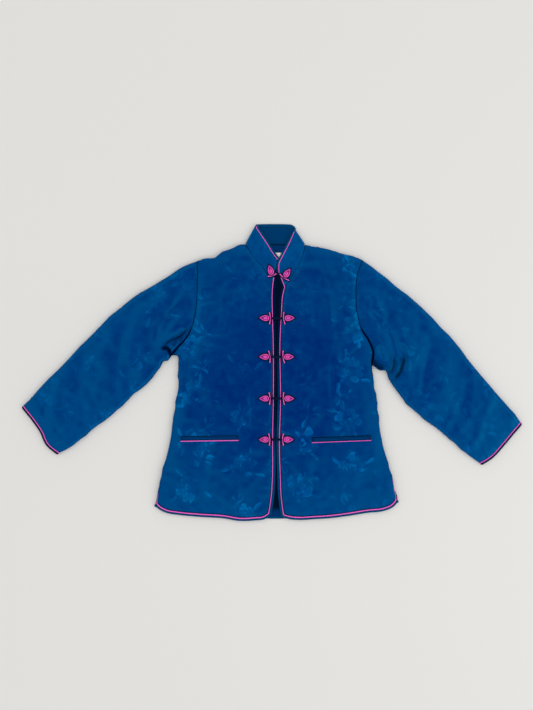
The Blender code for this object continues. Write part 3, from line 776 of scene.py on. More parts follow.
def makeDamask(name, look, shift=(0, 0), shadedChest=False):
    material, shader, uv, u, v = newCloth(name)
    flatX, flatY = u * (1 / mm), v * (1 / mm)
    scaleX, scaleY, wander = look["wobble"]
    x = flatX + (noiseAt(uv, scaleX, 1) - 0.5) * wander + shift[0]
    y = flatY + (noiseAt(uv, scaleY, 1) - 0.5) * wander + shift[1]
    flowers = bloomMask(uv, x, y, look).larger(sprigMask(x, y, look))
    scale, least, more, contrast = look["patches"]
    woven = flowers * (least + more * ((noiseAt(uv, scale) - 0.5) * contrast).mask(1))
    if shadedChest:  # painted shade: the flowers over the chest are dimmed, as if they hardly catch the light there
        least, middle, half, fade, foot, footFade = look["chestFlowerShade"]
        beside = ((abs(flatX - middle) - half) / fade).larger((foot - flatY) / footFade)
        woven = woven * (least + (1 - least) * beside.math("MULTIPLY", beside, 1, clamp=True))
    else:
        woven = woven * look["sleeveStrength"]
    broad, fine = (noiseAt(uv, scale, detail) * share for scale, detail, share in look["drift"])
    drift = broad + fine
    ground = ((drift - 0.5) * 2).mask(1).shade(toned(look["groundDim"]), toned(look["groundLit"]))
    if shadedChest:
        # painted shade: the ground dims towards the middle of the chest and waist
        middle, half, dim = look["chestShade"]
        edge, fade = look["chestShadeEdge"]
        aside, along = (flatX - middle[0]) / half[0], (flatY - middle[1]) / half[1]
        ground = (edge - aside * aside - along * along).mask(fade).shade(ground, toned(dim))
    pitch, slant = look["thread"]
    weave = threads(u + v * slant, pitch)
    crepe = (noiseAt(uv, look["crepeScale"]) - 0.5) * look["crepeRelief"]
    facing = ((look["bend"] - 1) / (look["bend"] + 1)) ** 2  # what such an index mirrors from straight above
    plug(
        shader,
        Base_Color=(woven * look["flowerShare"]).shade(ground, toned(look["flower"])),
        Roughness=look["rough"] - woven * look["roughFlower"] + (drift - 0.5) * look["roughDrift"],
        Normal=raised(woven * look["relief"] + weave * look["threadRelief"] + crepe),
        IOR=look["bend"],
        Specular_Tint=(*(part / facing for part in look["gloss"]), 1),
    )
    # a dark matte shader mixed in by the tuck map: painted shade in tucks and seams
    shadeBsdf = {"Base Color": toned(look["tuck"]), "Specular IOR Level": 0.0, "Roughness": 1.0}
    parts = {
        0: uv.node("UVMap", {"uv_map": "tuck"}).axes()[0],
        1: Wire(uv.tree, shader.outputs[0]),
        2: uv.node("BsdfPrincipled", None, shadeBsdf),
    }
    feed(uv.tree.nodes["Material Output"].inputs["Surface"], uv.node("MixShader", None, parts))
    return material


liningLook = {
    "colour": (0.0, 0.026, 0.122),
    "tones": (0.75, 1.25),
    "cloudScale": 14,
    "deep": (0.0, 0.0011, 0.011),  # painted shade inside the opening, between the collar and the hem
    "shadeFrom": (0.298, 0.03),  # upper end of the painted shade: height on the back and fade, metres
    # lower end of the painted shade, by the hem
    "shadeTo": (-0.294, 0.012),
    "footShade": (4.0 * mm, 1.6 * mm, 0.85),  # painted shade along the seam at the collar's foot: height, fade and share
    "rib": 1.1,
    "rough": (0.45, 0.16),
    "relief": (0.01, 0.3),  # of the ribs and the clouds, mm
    "gloss": (0.4, (0.0, 0.6, 1)),
    # less gloss where the shade is painted
    "shadeGloss": (0.2, (0.0, 0.35, 1)),
}


def makeLining(name, look, opening=False, foot=False):
    material, shader, uv, _, v = newCloth(name)
    cloudy = noiseAt(uv, look["cloudScale"], 3)
    colour = cloudy.tones(look["colour"], *look["tones"])
    if opening:
        # painted shade inside the opening, lighter again near the collar and the hem
        top, low = look["shadeFrom"], look["shadeTo"]
        light = (v - top[0]).mask(top[1]).larger((low[0] - v).mask(low[1]))
        colour = light.shade(toned(look["deep"]), colour)
        look = {**look, "gloss": look["shadeGloss"]}
    if foot:
        # painted shade along the collar's foot seam
        line, soft, share = look["footShade"]
        colour = ((line - v).mask(soft) * share).shade(colour, toned(look["deep"]))
    ribs, clouds = look["relief"]
    dress(shader, look, colour, cloudy, threads(v, look["rib"]) * ribs + cloudy * clouds)
    return material


bindingLook = {
    "shaded": (0.0, 0.0042, 0.032),  # painted shade beside the opening
    "cuff": (0.0, 0.0075, 0.042),
    "teal": (0.0, 0.053, 0.158),  # along the hem and the collar
    "tones": (0.65, 1.35),
    "turn": {"right": (0.41, 0.09), "left": (0.27, 0.2)},  # metres along where the painted shade gives way to teal, and the fade
    "stitch": (0.002, 0.03, 0.08),
    "stitchShare": 0.6,
    "pitch": 3.2,
    "tick": (0.19, 0.12),  # half a stitch as a share of the pitch, and its fade
    "line": (4.4 * mm, 0.32 * mm, 0.3 * mm),  # of the stitches: place round the tape, half width and fade
    "twill": 0.7,
    "cloudScale": 60,
    "rough": (0.42, 0.2),
    "relief": (0.01, 0.2, 0.03, 0.35),  # of the twill, stitches, dents between them and clouds, mm
    "gloss": (0.16, (0.02, 0.45, 1)),
}


def makeBinding(name, look, start, end, side="right"):
    material, shader, uv, u, v = newCloth(name)
    half, soft = look["tick"]
    tick = (abs((u / (look["pitch"] * mm)).wrapped() - 0.5) - half).mask(soft)
    place, half, soft = look["line"]
    stitch = (1 - tick) * (half - abs(v - place)).mask(soft)
    cloudy = noiseAt(uv, look["cloudScale"], 3)
    # painted shade along the front edges, giving way to teal along the hem
    turn, soft = look["turn"][side]
    hem = (u - turn).mask(soft)
    dim, lit = (hem.shade(toned(look[start], amount), toned(look[end], amount)) for amount in look["tones"])
    colour = (stitch * look["stitchShare"]).shade(cloudy.shade(dim, lit), toned(look["stitch"]))
    twill, thread, dent, clouds = look["relief"]
    height = threads(u + v, look["twill"]) * twill + stitch * thread - tick * dent + cloudy * clouds
    dress(shader, look, colour, cloudy, height)
    return material


weltLook = {
    "colour": (0.0, 0.024, 0.118),
    "tones": (0.6, 1.4),
    # the stitching lines, and the painted shade at the edges and ends
    "line": (0.0, 0.0006, 0.008),
    "pitch": 4.1,
    "lineFrom": (0.66, 0.3),  # where between two ribs a line begins, and its fade
    "wear": (0.3, 75),  # how far it is drawn out along the welt, and noise scale
    "waver": 0.5,  # how much the wear bends the lines
    "lineVary": (0.4, 20),  # share of a line that comes and goes, and noise scale
    "edges": (2.0, 10.7),  # painted shade along both long edges, mm from the piping line
    "edgeFade": 0.8 * mm,
    "end": (4, 5 * mm, 0.8),  # painted shade at its ends too: mm, fade and share
    "rough": (0.42, 0.2),
    "relief": (0.3, 0.15),  # of the wear and the lines, mm
    "gloss": (0.35, (0.0, 0.5, 1)),
}


def makeWelt(name, look, amount, long):  # ribbed satin with fine dark lines along it, and painted shade at its edges and ends
    material, shader, uv, u, v = newCloth(name)
    drawn, scale = look["wear"]
    worn = noiseAt(uv.node("CombineXYZ", None, {0: u * drawn, 1: v}), scale, 3)
    ribs = abs(((v / (look["pitch"] * mm)).wrapped() - 0.5) * 2) + (worn - 0.5) * look["waver"]
    begin, soft = look["lineFrom"]
    vary, scale = look["lineVary"]
    line = (ribs - begin).mask(soft) * (1 - vary + vary * noiseAt(uv, scale, 1))
    low, high = (edge * mm for edge in look["edges"])
    # painted shade along both long edges and at the ends
    line = line.larger((low - v).larger(v - high).mask(look["edgeFade"]))
    end, soft, share = look["end"]
    line = line.larger((end * mm - u).larger(u - (long - end) * mm).mask(soft) * share)
    wear, dent = look["relief"]
    cloudy = worn.tones(look["colour"], *(tone * amount for tone in look["tones"]))
    dress(shader, look, line.shade(cloudy, toned(look["line"])), worn, worn * wear - line * dent)
    return material


satinLook = {
    "weave": 0.75,  # mm
    "wearScale": 120,
    "tones": (0.94, 1.12),
    "toneShares": (0.8, 0.1, 0.1),  # of the wear, the weave and an even part
    "roughVary": 0.2,
    "level": 0.3,
    "relief": (0.03, 0.2),  # of the weave and the wear, mm
    "sheen": (0.5, 0.35),
}


def makeSatin(name, colour, rough, slant, gloss=(1, 1, 1)):  # plain satin cord or tape with a slanting weave
    material, shader, uv, u, v = newCloth(name)
    weave = threads(u + v * slant, satinLook["weave"])
    worn = noiseAt(uv, satinLook["wearScale"], 3)
    strand, wear = satinLook["relief"]
    mottled, woven, even = satinLook["toneShares"]
    shades = (worn * mottled + weave * woven + even).tones(colour, *satinLook["tones"])
    look = {"rough": (rough, satinLook["roughVary"]), "gloss": (satinLook["level"], gloss)}
    dress(shader, look, shades, worn, weave * strand + worn * wear)
    sheen, spread = satinLook["sheen"]
    plug(shader, Sheen_Weight=sheen, Sheen_Roughness=spread, Sheen_Tint=(*colour, 1))
    return material


floorLook = {
    "colour": (0.80, 0.792, 0.768),
    "tones": (0.985, 1),
    "rough": (0.85, 0.05),
    "level": 0.1,
    "cloudScale": 1.1,
    "size": 60.0,
    "below": 0.3 * mm,
}


def makeFloor(look):
    material, wire, shader = newFinish("paleFloor")
    cloudy = noiseAt(wire.node("TexCoord", None, None, 3), look["cloudScale"])
    rough, spread = look["rough"]
    plug(
        shader,
        Base_Color=cloudy.tones(look["colour"], *look["tones"]),
        Roughness=rough + (cloudy - 0.5) * spread,
        Specular_IOR_Level=look["level"],
    )
    half, low = look["size"] / 2, -look["below"]
    corners = [(x * half, y * half, low) for x, y in ((-1, -1), (1, -1), (1, 1), (-1, 1))]
    mesh = bpy.data.meshes.new("floor")
    mesh.from_pydata(corners, [], [(0, 1, 2, 3)])
    mesh.materials.append(material)
    floor = bpy.data.objects.new("floor", mesh)
    bpy.context.scene.collection.objects.link(floor)


collarSilk = {**damaskLook, "groundDim": (0.0, 0.022, 0.165), "groundLit": (0.0, 0.052, 0.245)}  # lighter
finishes = {
    "silkFronts": makeDamask("silkFronts", damaskLook, shadedChest=True),
    "silkSleeves": makeDamask("silkSleeves", damaskLook, shift=(31, 57)),
    "silkCollar": makeDamask("silkCollar", collarSilk, shift=(31, 57)),
    "lining": makeLining("silkLining", liningLook),
    "collarLining": makeLining("silkCollarLining", liningLook, foot=True),
    "backLining": makeLining("silkBackLining", liningLook, opening=True),
    "bindingRight": makeBinding("satinBindingRight", bindingLook, "shaded", "teal", "right"),
    "bindingLeft": makeBinding("satinBindingLeft", bindingLook, "shaded", "teal", "left"),
    "binding": makeBinding("satinBinding", bindingLook, "teal", "teal"),
    "bindingCuff": makeBinding("satinBindingCuff", bindingLook, "cuff", "cuff"),
    "weltRight": makeWelt("ribbedWeltRight", weltLook, amount=1.3, long=143),
    "weltLeft": makeWelt("ribbedWeltLeft", weltLook, amount=1.25, long=147),
    "piping": makeSatin("pinkPiping", (1.0, 0.130, 0.60), rough=0.42, slant=0.8),
    "frog": makeSatin("pinkFrog", (0.82, 0.088, 0.46), rough=0.45, slant=1.3),
    "vein": makeSatin("purpleVein", (0.20, 0.012, 0.19), rough=0.5, slant=1.3, gloss=(0.6, 0.3, 1)),
    "navy": makeSatin("navyCord", (0.001, 0.003, 0.020), rough=0.45, slant=1.0, gloss=(0.15, 0.45, 1)),
    "label": makeSatin("creamTape", (0.80, 0.76, 0.66), rough=0.8, slant=0.0),
}
print("finishes made:", len(finishes))

bodyLook = {
    "step": 2.7 * mm,
    "backStep": 5 * mm,
    "pull": 3,  # how soon the curves of the hem and the neck fade inside a panel
    "shoulderShare": 5 / 11,  # of a front's columns, which run on into the hem
    "backShare": 5 / 16,  # of the back's columns, under each shoulder
    "sideShare": 0.66,  # of the rows, so that the underarm and the front edge are level
    "swell": (0.75, 36),  # height and size of the padding's soft swells, mm
    "fineSwell": 0.45,  # height and size of the finer ones among them, as a share
    "backSwell": (0.35, 40 * mm),  # share of them on the back, and how far in they grow
    "backShift": 0.05,  # the damask on the back starts elsewhere, metres
    "pucker": (0.55, 7.5, 15),  # height, spacing and reach of the small gathers along seams, mm
    "puckerDraw": 0.2,  # a smaller share draws them out further from the seam
    "slot": {"right": (2.6, 56, 88), "left": (3.6, 70, 112)},  # a slot at the underarm: width, fade, mm
    "slotStart": 6,
    "ventReach": 25 * mm,  # how far up the back's corner stands out at the vent
    "seeds": {"right": 20, "left": 30, "back": 71},
}
frontFolds = {  # points of each fold, then width and height, all in mm
    "right": [
        ((-190, 190), (-172, 120), (-150, 60), 30, 1.6),
        ((-215, -60), (-226, -160), (-235, -260), 28, 1.5),
        ((-206, 112), (-170, 96), (-120, 100), 9, -1.1),
        ((-212, 84), (-168, 62), (-124, 58), 8, -0.9),
        ((-50, -35), (-49, -95), (-46, -155), 6, -0.7),
        ((-120, 210), (-118, 150), (-126, 90), 11, 0.9),
        ((-60, 250), (-78, 180), (-80, 110), 12, -0.8),
        ((-140, -190), (-150, -260), (-158, -330), 14, 0.9),
        ((-90, -200), (-84, -270), (-86, -340), 10, -0.7),
    ],
    "left": [
        ((205, 190), (184, 120), (165, 60), 30, 1.6),
        ((228, -60), (244, -160), (262, -260), 28, 1.5),
        ((148, 30), (150, -20), (149, -70), 6, -0.6),
        ((216, 112), (186, 92), (150, 90), 9, -1.1),
        ((232, 70), (196, 40), (160, 36), 9, -0.9),
        ((100, 250), (112, 180), (108, 100), 12, -0.8),
        ((140, 210), (146, 150), (150, 90), 11, 0.9),
        ((190, -190), (202, -260), (208, -330), 14, 0.9),
        ((110, -200), (106, -270), (110, -340), 10, -0.7),
    ],
}


def frontGrid(side, step):  # plan grid of a front, and its four edges
    split, rowSplit = bodyLook["shoulderShare"], bodyLook["sideShare"]
    hemLength, armLength = seamLength("hem", side), seamLength("armhole", side)
    one = gridShares(hemLength * split, step, start=True)
    two = gridShares(hemLength * (1 - split), step, end=True)
    low = gridShares(seamLength("side", side), step, start=True)
    high = gridShares(armLength, step, end=True)
    u, v = splitShares(one, two, split), splitShares(low, high, rowSplit)
    south, east = seam("hem", side, 1 - u), seam("edge", side, 1 - v)
    north = joined(seam("shoulder", side, one), seam("neck", side, two))
    wide, fade, end = bodyLook["slot"][side]
    gone = high * armLength / mm
    slot = wide * mm * np.clip(gone / bodyLook["slotStart"], 0, 1) * rise(end - gone, end - fade)
    armhole = seam("armhole", side, 1 - high)
    armhole = armhole + slot[:, None] * outward(armhole, seamPoint("cuff", side, 0.5))
    west = joined(seam("side", side, 1 - low), armhole)
    return fillGrid(south, north, west, east, u, v, bodyLook["pull"]), (south, north, west, east)


def swellAt(plan, seed):
    tall, size = (part * mm for part in bodyLook["swell"])
    x, y, fine = plan[..., 0], plan[..., 1], bodyLook["fineSwell"]
    return tall * (softNoise(x, y, size, seed) + fine * softNoise(x, y, size * fine, seed + 1))


def puckersAt(near, edges, seed):  # small gathers that run in from the seams
    tall, size, reach = (part * mm for part in bodyLook["pucker"])
    height, draw = np.zeros(near[0][0].shape), bodyLook["puckerDraw"]
    for index, ((gone, share), edge) in enumerate(zip(near, edges)):
        along = share * lengthsAlong(edge)[-1]
        height += tall * np.exp(-gone / reach) * softNoise(along, draw * gone, size, seed + index)
    return height


def paddedSheet(plan, edges, level, seed, folds, underarm):  # heights of a padded panel's two faces, and its painted shade
    near = [distanceTo(plan, thinned(edge)) for edge in edges]
    span = np.min([gone for gone, _ in near], axis=0)
    loft = cloth["seamWall"] + (cloth["pad"] - cloth["seamWall"]) * rise(span, reachAt(underarm))
    loft += cloth["crown"] * rise(span, cloth["crownReach"])
    loft += (foldHeights(plan, folds) + swellAt(plan, seed)) * rise(span, cloth["padReach"])
    loft += puckersAt(near, edges, seed + 5) * rise(span, cloth["gatherReach"])
    beside = np.minimum(near[0][0], near[3][0])  # the hem and the edge
    place, wide, deep = cloth["ditch"]
    loft -= deep * bell(beside - place, wide)
    # painted shade beside the piping and along the armhole
    place, wide, shade = cloth["paintedDitchShade"]
    tuck = np.maximum(shade * bell(beside - place, wide), paintedSeamShade(near[2][0], underarm))
    turned = roundOver(span, rimAt(underarm))
    middle = cloth["rimMiddle"]
    return level + middle + (loft - middle) * turned, level + middle * (1 - turned), tuck


def cutOf(plan, *edges):  # a panel's flat size and its area
    points = plan.reshape(-1, 2)
    return points.max(0) - points.min(0), polygonArea(np.concatenate(edges))


def reportCut(piece, cut, wide, long):
    print(f"{piece.name}: {len(piece.data.polygons)} faces, cut {cut:.3f} m2 in {wide:.3f} x {long:.3f} m")


def makeFront(side):
    plan, edges = frontGrid(side, bodyLook["step"])
    south, north, west, east = edges
    seed, near = bodyLook["seeds"][side], underarmAt(plan, side)
    top, under, tuck = paddedSheet(plan, edges, cloth["frontLevel"], seed, frontFolds[side], near)
    part = wallPart(lifted(plan, top), lifted(plan, under), plan, (0, 1), tuck=tuck)
    piece = addPiece("front" + side.title(), [part], ["silkFronts", "lining"], "silk")
    size, cut = cutOf(plan, south, east, north[::-1], west[::-1])
    min(cut, size[0] * size[1])
    reportCut(piece, cut, *size)


def makeBack():
    step, flank, rowSplit = bodyLook["backStep"], bodyLook["backShare"], bodyLook["sideShare"]
    hemLength = lengthsAlong(np.array(backLines["hem"]) * mm)[-1]
    inner = 1 - 2 * flank
    outer = gridShares(hemLength * flank, step, start=True)
    middle = gridShares(hemLength * inner, step)
    u = np.concatenate([outer * flank, flank + inner * middle[1:], 1 - flank + flank * (1 - outer[::-1])[1:]])
    low = gridShares(seamLength("side", "right"), step, start=True)
    high = gridShares(seamLength("armhole", "right"), step, end=True)
    south = backLine("hem", u)
    right, left = (seam("shoulder", side, outer) for side in sides)
    north = joined(right, backLine("neck", middle), left[::-1])
    flanks = []
    for side, corner in zip(sides, (south[0], south[-1])):
        line = joined(seam("side", side, 1 - low), seam("armhole", side, 1 - high))
        near = bell(np.linalg.norm(line - line[0], axis=1), bodyLook["ventReach"])[:, None]
        line = line + near * (corner - line[0])
        flanks.append(line + cloth["backOut"] * outward(line, np.zeros(2)))
    plan = fillGrid(south, north, *flanks, u, splitShares(low, high, rowSplit), bodyLook["pull"])
    span = spanTo(plan, south, north, *flanks)
    turned = roundOver(span, cloth["rim"])
    half, (share, reach) = cloth["backWall"] / 2, bodyLook["backSwell"]
    swell = share * np.abs(swellAt(plan, bodyLook["seeds"]["back"])) * rise(span, reach)
    top, under = half + (half - swell) * turned, half * (1 - turned)
    part = wallPart(lifted(plan, top), lifted(plan, under), plan + bodyLook["backShift"], (1, 0))
    piece = addPiece("back", [part], ["silkFronts", "backLining"], "silk")
    piece.name = "backPanel"
    size, cut = cutOf(plan, south, flanks[1], north[::-1], flanks[0][::-1])
    reportCut(piece, cut, *size)
    strip = tapeBeside(resample(south, trimLook["backStep"]), np.zeros(2), 0)
    addPiece("bindingBack", [strip], ["binding"], "binding")


trimLook = {
    "bindingWidth": 7.4 * mm,
    "bindingWall": 2.4 * mm,
    "backStep": 2.5 * mm,
    "cuffRows": (0.35, 1.3, 2.6, 4.0, 5.4, 6.7, 7.6),  # across a cuff's binding, mm
    "cuffRound": 1.6 * mm,  # its edges are rounded
    "cuffCorner": 5 * mm,  # and so are its corners
    "cuffTaper": 0.35,  # its width at the very corner, as a share
    "cuffSeat": (0.9 * mm, 0.95),  # how widely its piping feels for the cloth, and its height in radii
    "piping": {  # radii of the cord
        "hem": 1.35 * mm,
        "edge": 0.92 * mm,
        "vent": 0.65 * mm,
        "cuff": 0.92 * mm,
        "collar": 0.74 * mm,
    },
    "turns": (-20 * mm, 30 * mm, -4 * mm, 10 * mm),  # where its radius changes, from the hem's two corners
    "groove": 4.0 * mm,  # bottom of the piping above the underside of the fronts
    "ventGroove": 3.2 * mm,
    "step": 2.2 * mm,
    "start": {"right": (5.8, 235), "left": (24, 235)},  # on the collar's end
    "onCollar": 14,  # steps of the piping that lie on the collar
    "collarGap": 0.1 * mm,
    "vent": {"right": 26 * mm, "left": 50 * mm},
}


def tapeBeside(path, awayFrom, underside):  # a binding along the outer side of a line
    normal = outward(path, awayFrom)
    width, thick = trimLook["bindingWidth"] - cloth["gap"], trimLook["bindingWall"]
    middle = lifted(path + normal * (cloth["gap"] + width / 2), underside + thick / 2)
    return sweepPart(middle, tapeProfile(width, thick), across=lifted(normal, 0))


def addPiping(name, path, radius, scale=1.0):
    addPiece("piping" + name, [sweepPart(path, roundProfile(radius), scale=scale)], ["piping"], "piping")


def makeFrontTrim(side):  # the binding ends at the side, and the piping goes on up the vent
    shares = np.linspace(0, 1, 160)
    edge = np.concatenate([np.array([trimLook["start"][side]]) * mm, seam("edge", side, shares)])
    hem = seam("hem", side, shares)
    vent = seam("side", side, 1 - np.linspace(0, trimLook["vent"][side] / seamLength("side", side), 20))
    corners = np.cumsum([lengthsAlong(part)[-1] for part in (edge, hem)])

    def eased(line):  # rounds the corners a little
        line = resample(line, trimLook["step"])
        return np.concatenate([line[:1], (line[:-2] + 2 * line[1:-1] + line[2:]) / 4, line[-1:]])

    name = "Front" + side.title()
    strip = tapeBeside(eased(joined(edge, hem)), seamPoint("armhole", side, 1), cloth["frontLevel"])
    addPiece("binding" + name, [strip], ["binding" + side.title()], "binding")
    path = eased(joined(edge, hem, vent))
    gone, places = lengthsAlong(path), corners[[0, 0, 1, 1]] + trimLook["turns"]
    radius = np.interp(gone, places, [trimLook["piping"][kind] for kind in ("edge", "hem", "hem", "vent")])
    groove = np.interp(gone, places[2:], [trimLook["groove"], trimLook["ventGroove"]])
    seat = cloth["frontLevel"] + groove + radius
    first = slice(trimLook["onCollar"])
    onCollar = heightsOn(["collar"], path[first], radius[0]) + radius[0] + trimLook["collarGap"]
    seat[first] = np.maximum(seat[first], onCollar)
    addPiping(name, lifted(path, evened(seat, 2)), 1.0, radius)
    print("trim of the", side, "front,", len(path), "steps")


sleeveLook = {
    "loft": 13 * mm,
    "armholeReach": 3,  # how much further in a sleeve reaches its loft than a front does
    "cuffLoft": 10.4 * mm,
    "cuffReach": 30 * mm,
    "cuffWall": 7.5 * mm,
    "round": 10 * mm,
    "endTurn": 0.35,  # share of the loft left where the tube's ends round over towards its middle
    "play": 0.9 * mm,
    "middle": 0.45,
    "least": 1.2 * mm,  # cloth left under the deepest crease
    "swell": 1.3,  # its swells are this much higher than a front's
    "rowSteps": [(75, 0.95), (130, 2.0), (1e9, 3.4)],  # up to this far from the armhole, the rows' step, mm
    "columnSteps": [(0.58, 3.8), (1, 0.95)],  # up to this share of the width, the columns' step, mm
    "edgeStep": 0.5,
    "stepGrowth": 0.3,  # how fast the steps grow away from an edge
    "edgeColumns": 8,  # kept on the underside, where every second one of the rest goes
    "insideRows": 40,
    "tuck": (1.9 * mm, 1.8, 0.8),  # painted shade in creases: depth of a quite dark crease, how much wider the shade is than the crease, how dark
    "seeds": {"right": 40, "left": 50},
}
sleeveFolds = {  # points of each fold, then width and height, all in mm
    "right": [
        ((-246, 150), (-276, 108), (-300, 62), 14, -1.8),
        ((-262, 205), (-296, 160), (-330, 110), 24, 1.6),
        ((-222, 190), (-262, 132), (-286, 84), 8, 1.2),
        ((-400, 120), (-416, 20), (-430, -70), 22, 1.1),  # elbow
        ((-370, 96), (-388, 20), (-392, -52), 10, -0.9),
        ((-470, 50), (-486, -30), (-500, -110), 20, -0.9),
        ((-330, 150), (-352, 70), (-346, 0), 12, 0.7),
        ((-520, 10), (-540, -60), (-548, -130), 12, 0.6),
        ((-560, -60), (-566, -110), (-556, -160), 8, -0.7),
    ],
    "left": [
        ((286, 120), (304, 70), (318, 18), 11, -2.0),
        ((318, 130), (336, 60), (350, 0), 16, 2.0),
        ((248, 214), (268, 160), (290, 110), 10, 1.1),
        ((240, 160), (262, 138), (296, 128), 7, -1.2),
        ((440, 70), (420, -20), (398, -100), 22, 1.1),  # elbow
        ((404, 100), (386, 20), (372, -60), 10, -0.9),
        ((500, 0), (478, -80), (452, -160), 16, -0.8),
        ((360, 150), (352, 80), (366, 10), 12, 0.7),
        ((548, -60), (530, -120), (510, -180), 10, 0.8),
    ],
}
sleeveCreases = {  # narrow tucks and the ridges beside them, where the sleeve bunches at the underarm
    "right": [
        ((-204, 114), (-231, 88), (-255, 77), (-274, 60), 2.2, -1.9),
        ((-272, 57), (-263, 60), (-256, 54), (-252, 41), 2.0, -11.0),
        ((-216, 92), (-236, 74), (-250, 60), 4, -1.0),
        ((-214, 110), (-240, 90), (-262, 84), 7, 2.2),
        ((-228, 80), (-246, 62), (-256, 46), 5, 1.8),
    ],
    "left": [
        ((306, 40), (305, 16), (294, -8), 3.4, -1.7),
        ((333, 44), (326, 16), (321, 0), (302, -20), 3.0, -2.6),
        ((338, 34), (341, 16), (338, 0), 6, 1.6),
        ((250, 36), (262, 18), (284, 6), 4.0, -2.4),
        ((316, 72), (330, 62), (342, 46), 4, 2.4),
        ((314, 36), (315, 21), (311, 5), 4.5, 1.2),
        ((268, 70), (276, 46), (290, 26), 8, 2.0),
    ],
}


def drawnIn(path, reach):  # a path's points moved along it, away from its ends
    lengths = lengthsAlong(path)
    start, end = (reach - np.minimum(span / 3, reach) for span in (lengths, lengths[-1] - lengths))
    return walk(path, lengths + start - end)


def tubeWalls(plan, loft, relief, ends, under, rows):  # outer and inner rings of a padded tube lying flat
    columns = plan.shape[1] - 1
    span = spanTo(plan, thinned(plan[:, 0]), thinned(plan[:, -1]))
    least = sleeveLook["endTurn"]
    turned = roundOver(span, sleeveLook["round"]) * (least + (1 - least) * ends)
    middle = sleeveLook["middle"] * evened(loft.min(axis=1), 1)[:, None]
    loft = np.maximum(loft + relief, middle + sleeveLook["least"])
    top, bottom = middle + (loft - middle) * turned, middle * (1 - turned)
    inside = np.array([drawnIn(plan[row], cloth["pad"]) for row in rows])
    play = sleeveLook["play"] / 2 * np.sin(np.pi * np.arange(columns + 1) / columns)
    back, slit = under[-2::-1], middle[rows]
    outer = np.concatenate([lifted(plan, top), lifted(plan, bottom)[:, back]], axis=1)
    inner = np.concatenate([lifted(inside, slit + play), lifted(inside, slit - play)[:, back]], axis=1)
    return outer, inner


def sleeveShares(side):  # rows down the sleeve, and columns from its folded to its seamed edge
    long, wide = seamLength("upper", side) / mm, seamLength("armhole", side) / mm

    def step(place, whole, steps):
        edge = sleeveLook["edgeStep"] + sleeveLook["stepGrowth"] * max(0, min(place, whole - place))
        return min(edge, next(size for upTo, size in steps if place < upTo))

    widths = [(upTo * wide + 1, size) for upTo, size in sleeveLook["columnSteps"]]
    rows = gradedShares(long, lambda place: step(place, long, sleeveLook["rowSteps"]))
    return rows, gradedShares(wide, lambda place: step(place, wide, widths))


def makeSleeve(side):
    rows, shares = sleeveShares(side)
    cuff, armhole = seam("cuff", side, shares), seam("armhole", side, shares)
    armhole = armhole - cloth["seamGap"] * outward(armhole, cuff[len(cuff) // 2])
    upper, lower = seam("upper", side, rows), seam("lower", side, rows)
    upper[0], lower[0] = armhole[0], armhole[-1]
    plan = fillGrid(upper, lower, armhole, cuff, rows, shares)
    near = [distanceTo(plan, thinned(edge)) for edge in (armhole, cuff)]
    fromArmhole, fromCuff = (gone for gone, _ in near)
    span, underarm = np.minimum(fromArmhole, fromCuff), underarmAt(plan, side)
    sewn, full, cuffLoft = cloth["frontLevel"] + cloth["seamWall"], sleeveLook["loft"], sleeveLook["cuffLoft"]
    loft = np.minimum(
        sewn + (full - sewn) * rise(fromArmhole, sleeveLook["armholeReach"] * reachAt(underarm)),
        cuffLoft + (full - cuffLoft) * rise(fromCuff, sleeveLook["cuffReach"]),
    )
    seed = sleeveLook["seeds"][side]
    swells = foldHeights(plan, sleeveFolds[side]) + sleeveLook["swell"] * swellAt(plan, seed)
    gathers = foldHeights(plan, sleeveCreases[side]) + puckersAt(near, (armhole, cuff), seed + 5)
    relief = swells * rise(span, cloth["padReach"]) + gathers * rise(span, cloth["gatherReach"])
    numbers = np.arange(len(shares))
    under = numbers[(np.minimum(numbers, numbers[::-1]) < sleeveLook["edgeColumns"]) | (numbers % 2 == 0)]
    inside = np.unique(np.linspace(0, len(rows) - 1, sleeveLook["insideRows"]).round().astype(int))
    outer, inner = tubeWalls(plan, loft, relief, roundOver(span, rimAt(underarm)), under, inside)
    # painted shade in the creases and beside the armhole
    deep, wider, shaded = sleeveLook["tuck"]
    creases = [(*path, wider * width, tall) for *path, width, tall in sleeveCreases[side] if tall < 0]
    creaseShade = shaded * np.clip(-foldHeights(plan, creases) / deep, 0, 1)
    tuck = np.maximum(creaseShade, paintedSeamShade(fromArmhole, underarm))
    tuck = np.concatenate([tuck, np.zeros((len(rows), len(under) - 1))], axis=1)
    down = unit(cuff[len(cuff) // 2] - armhole[len(armhole) // 2])
    flat = np.stack([plan @ np.array((down[1], -down[0])), plan @ down], axis=-1)
    back = under[-2::-1]
    folded = np.stack([2 * flat[:, -1:, 0] - flat[:, back, 0], flat[:, back, 1]], axis=-1)
    flat = np.concatenate([flat, folded], axis=1)
    part = wallPart(outer, inner, flat, (0, 1), True, flat[inside], tuck)
    piece = addPiece("sleeve" + side.title(), [part], ["silkSleeves", "lining"], "silk")
    girth = 2 * max(lengthsAlong(row)[-1] for row in plan)
    long = max(lengthsAlong(line)[-1] for line in (upper, lower))
    cut = 2 * polygonArea(np.concatenate([upper, cuff, lower[::-1], armhole[::-1]]))
    reportCut(piece, cut, girth, long)
    makeCuff(side, cuff, armhole[len(armhole) // 2])


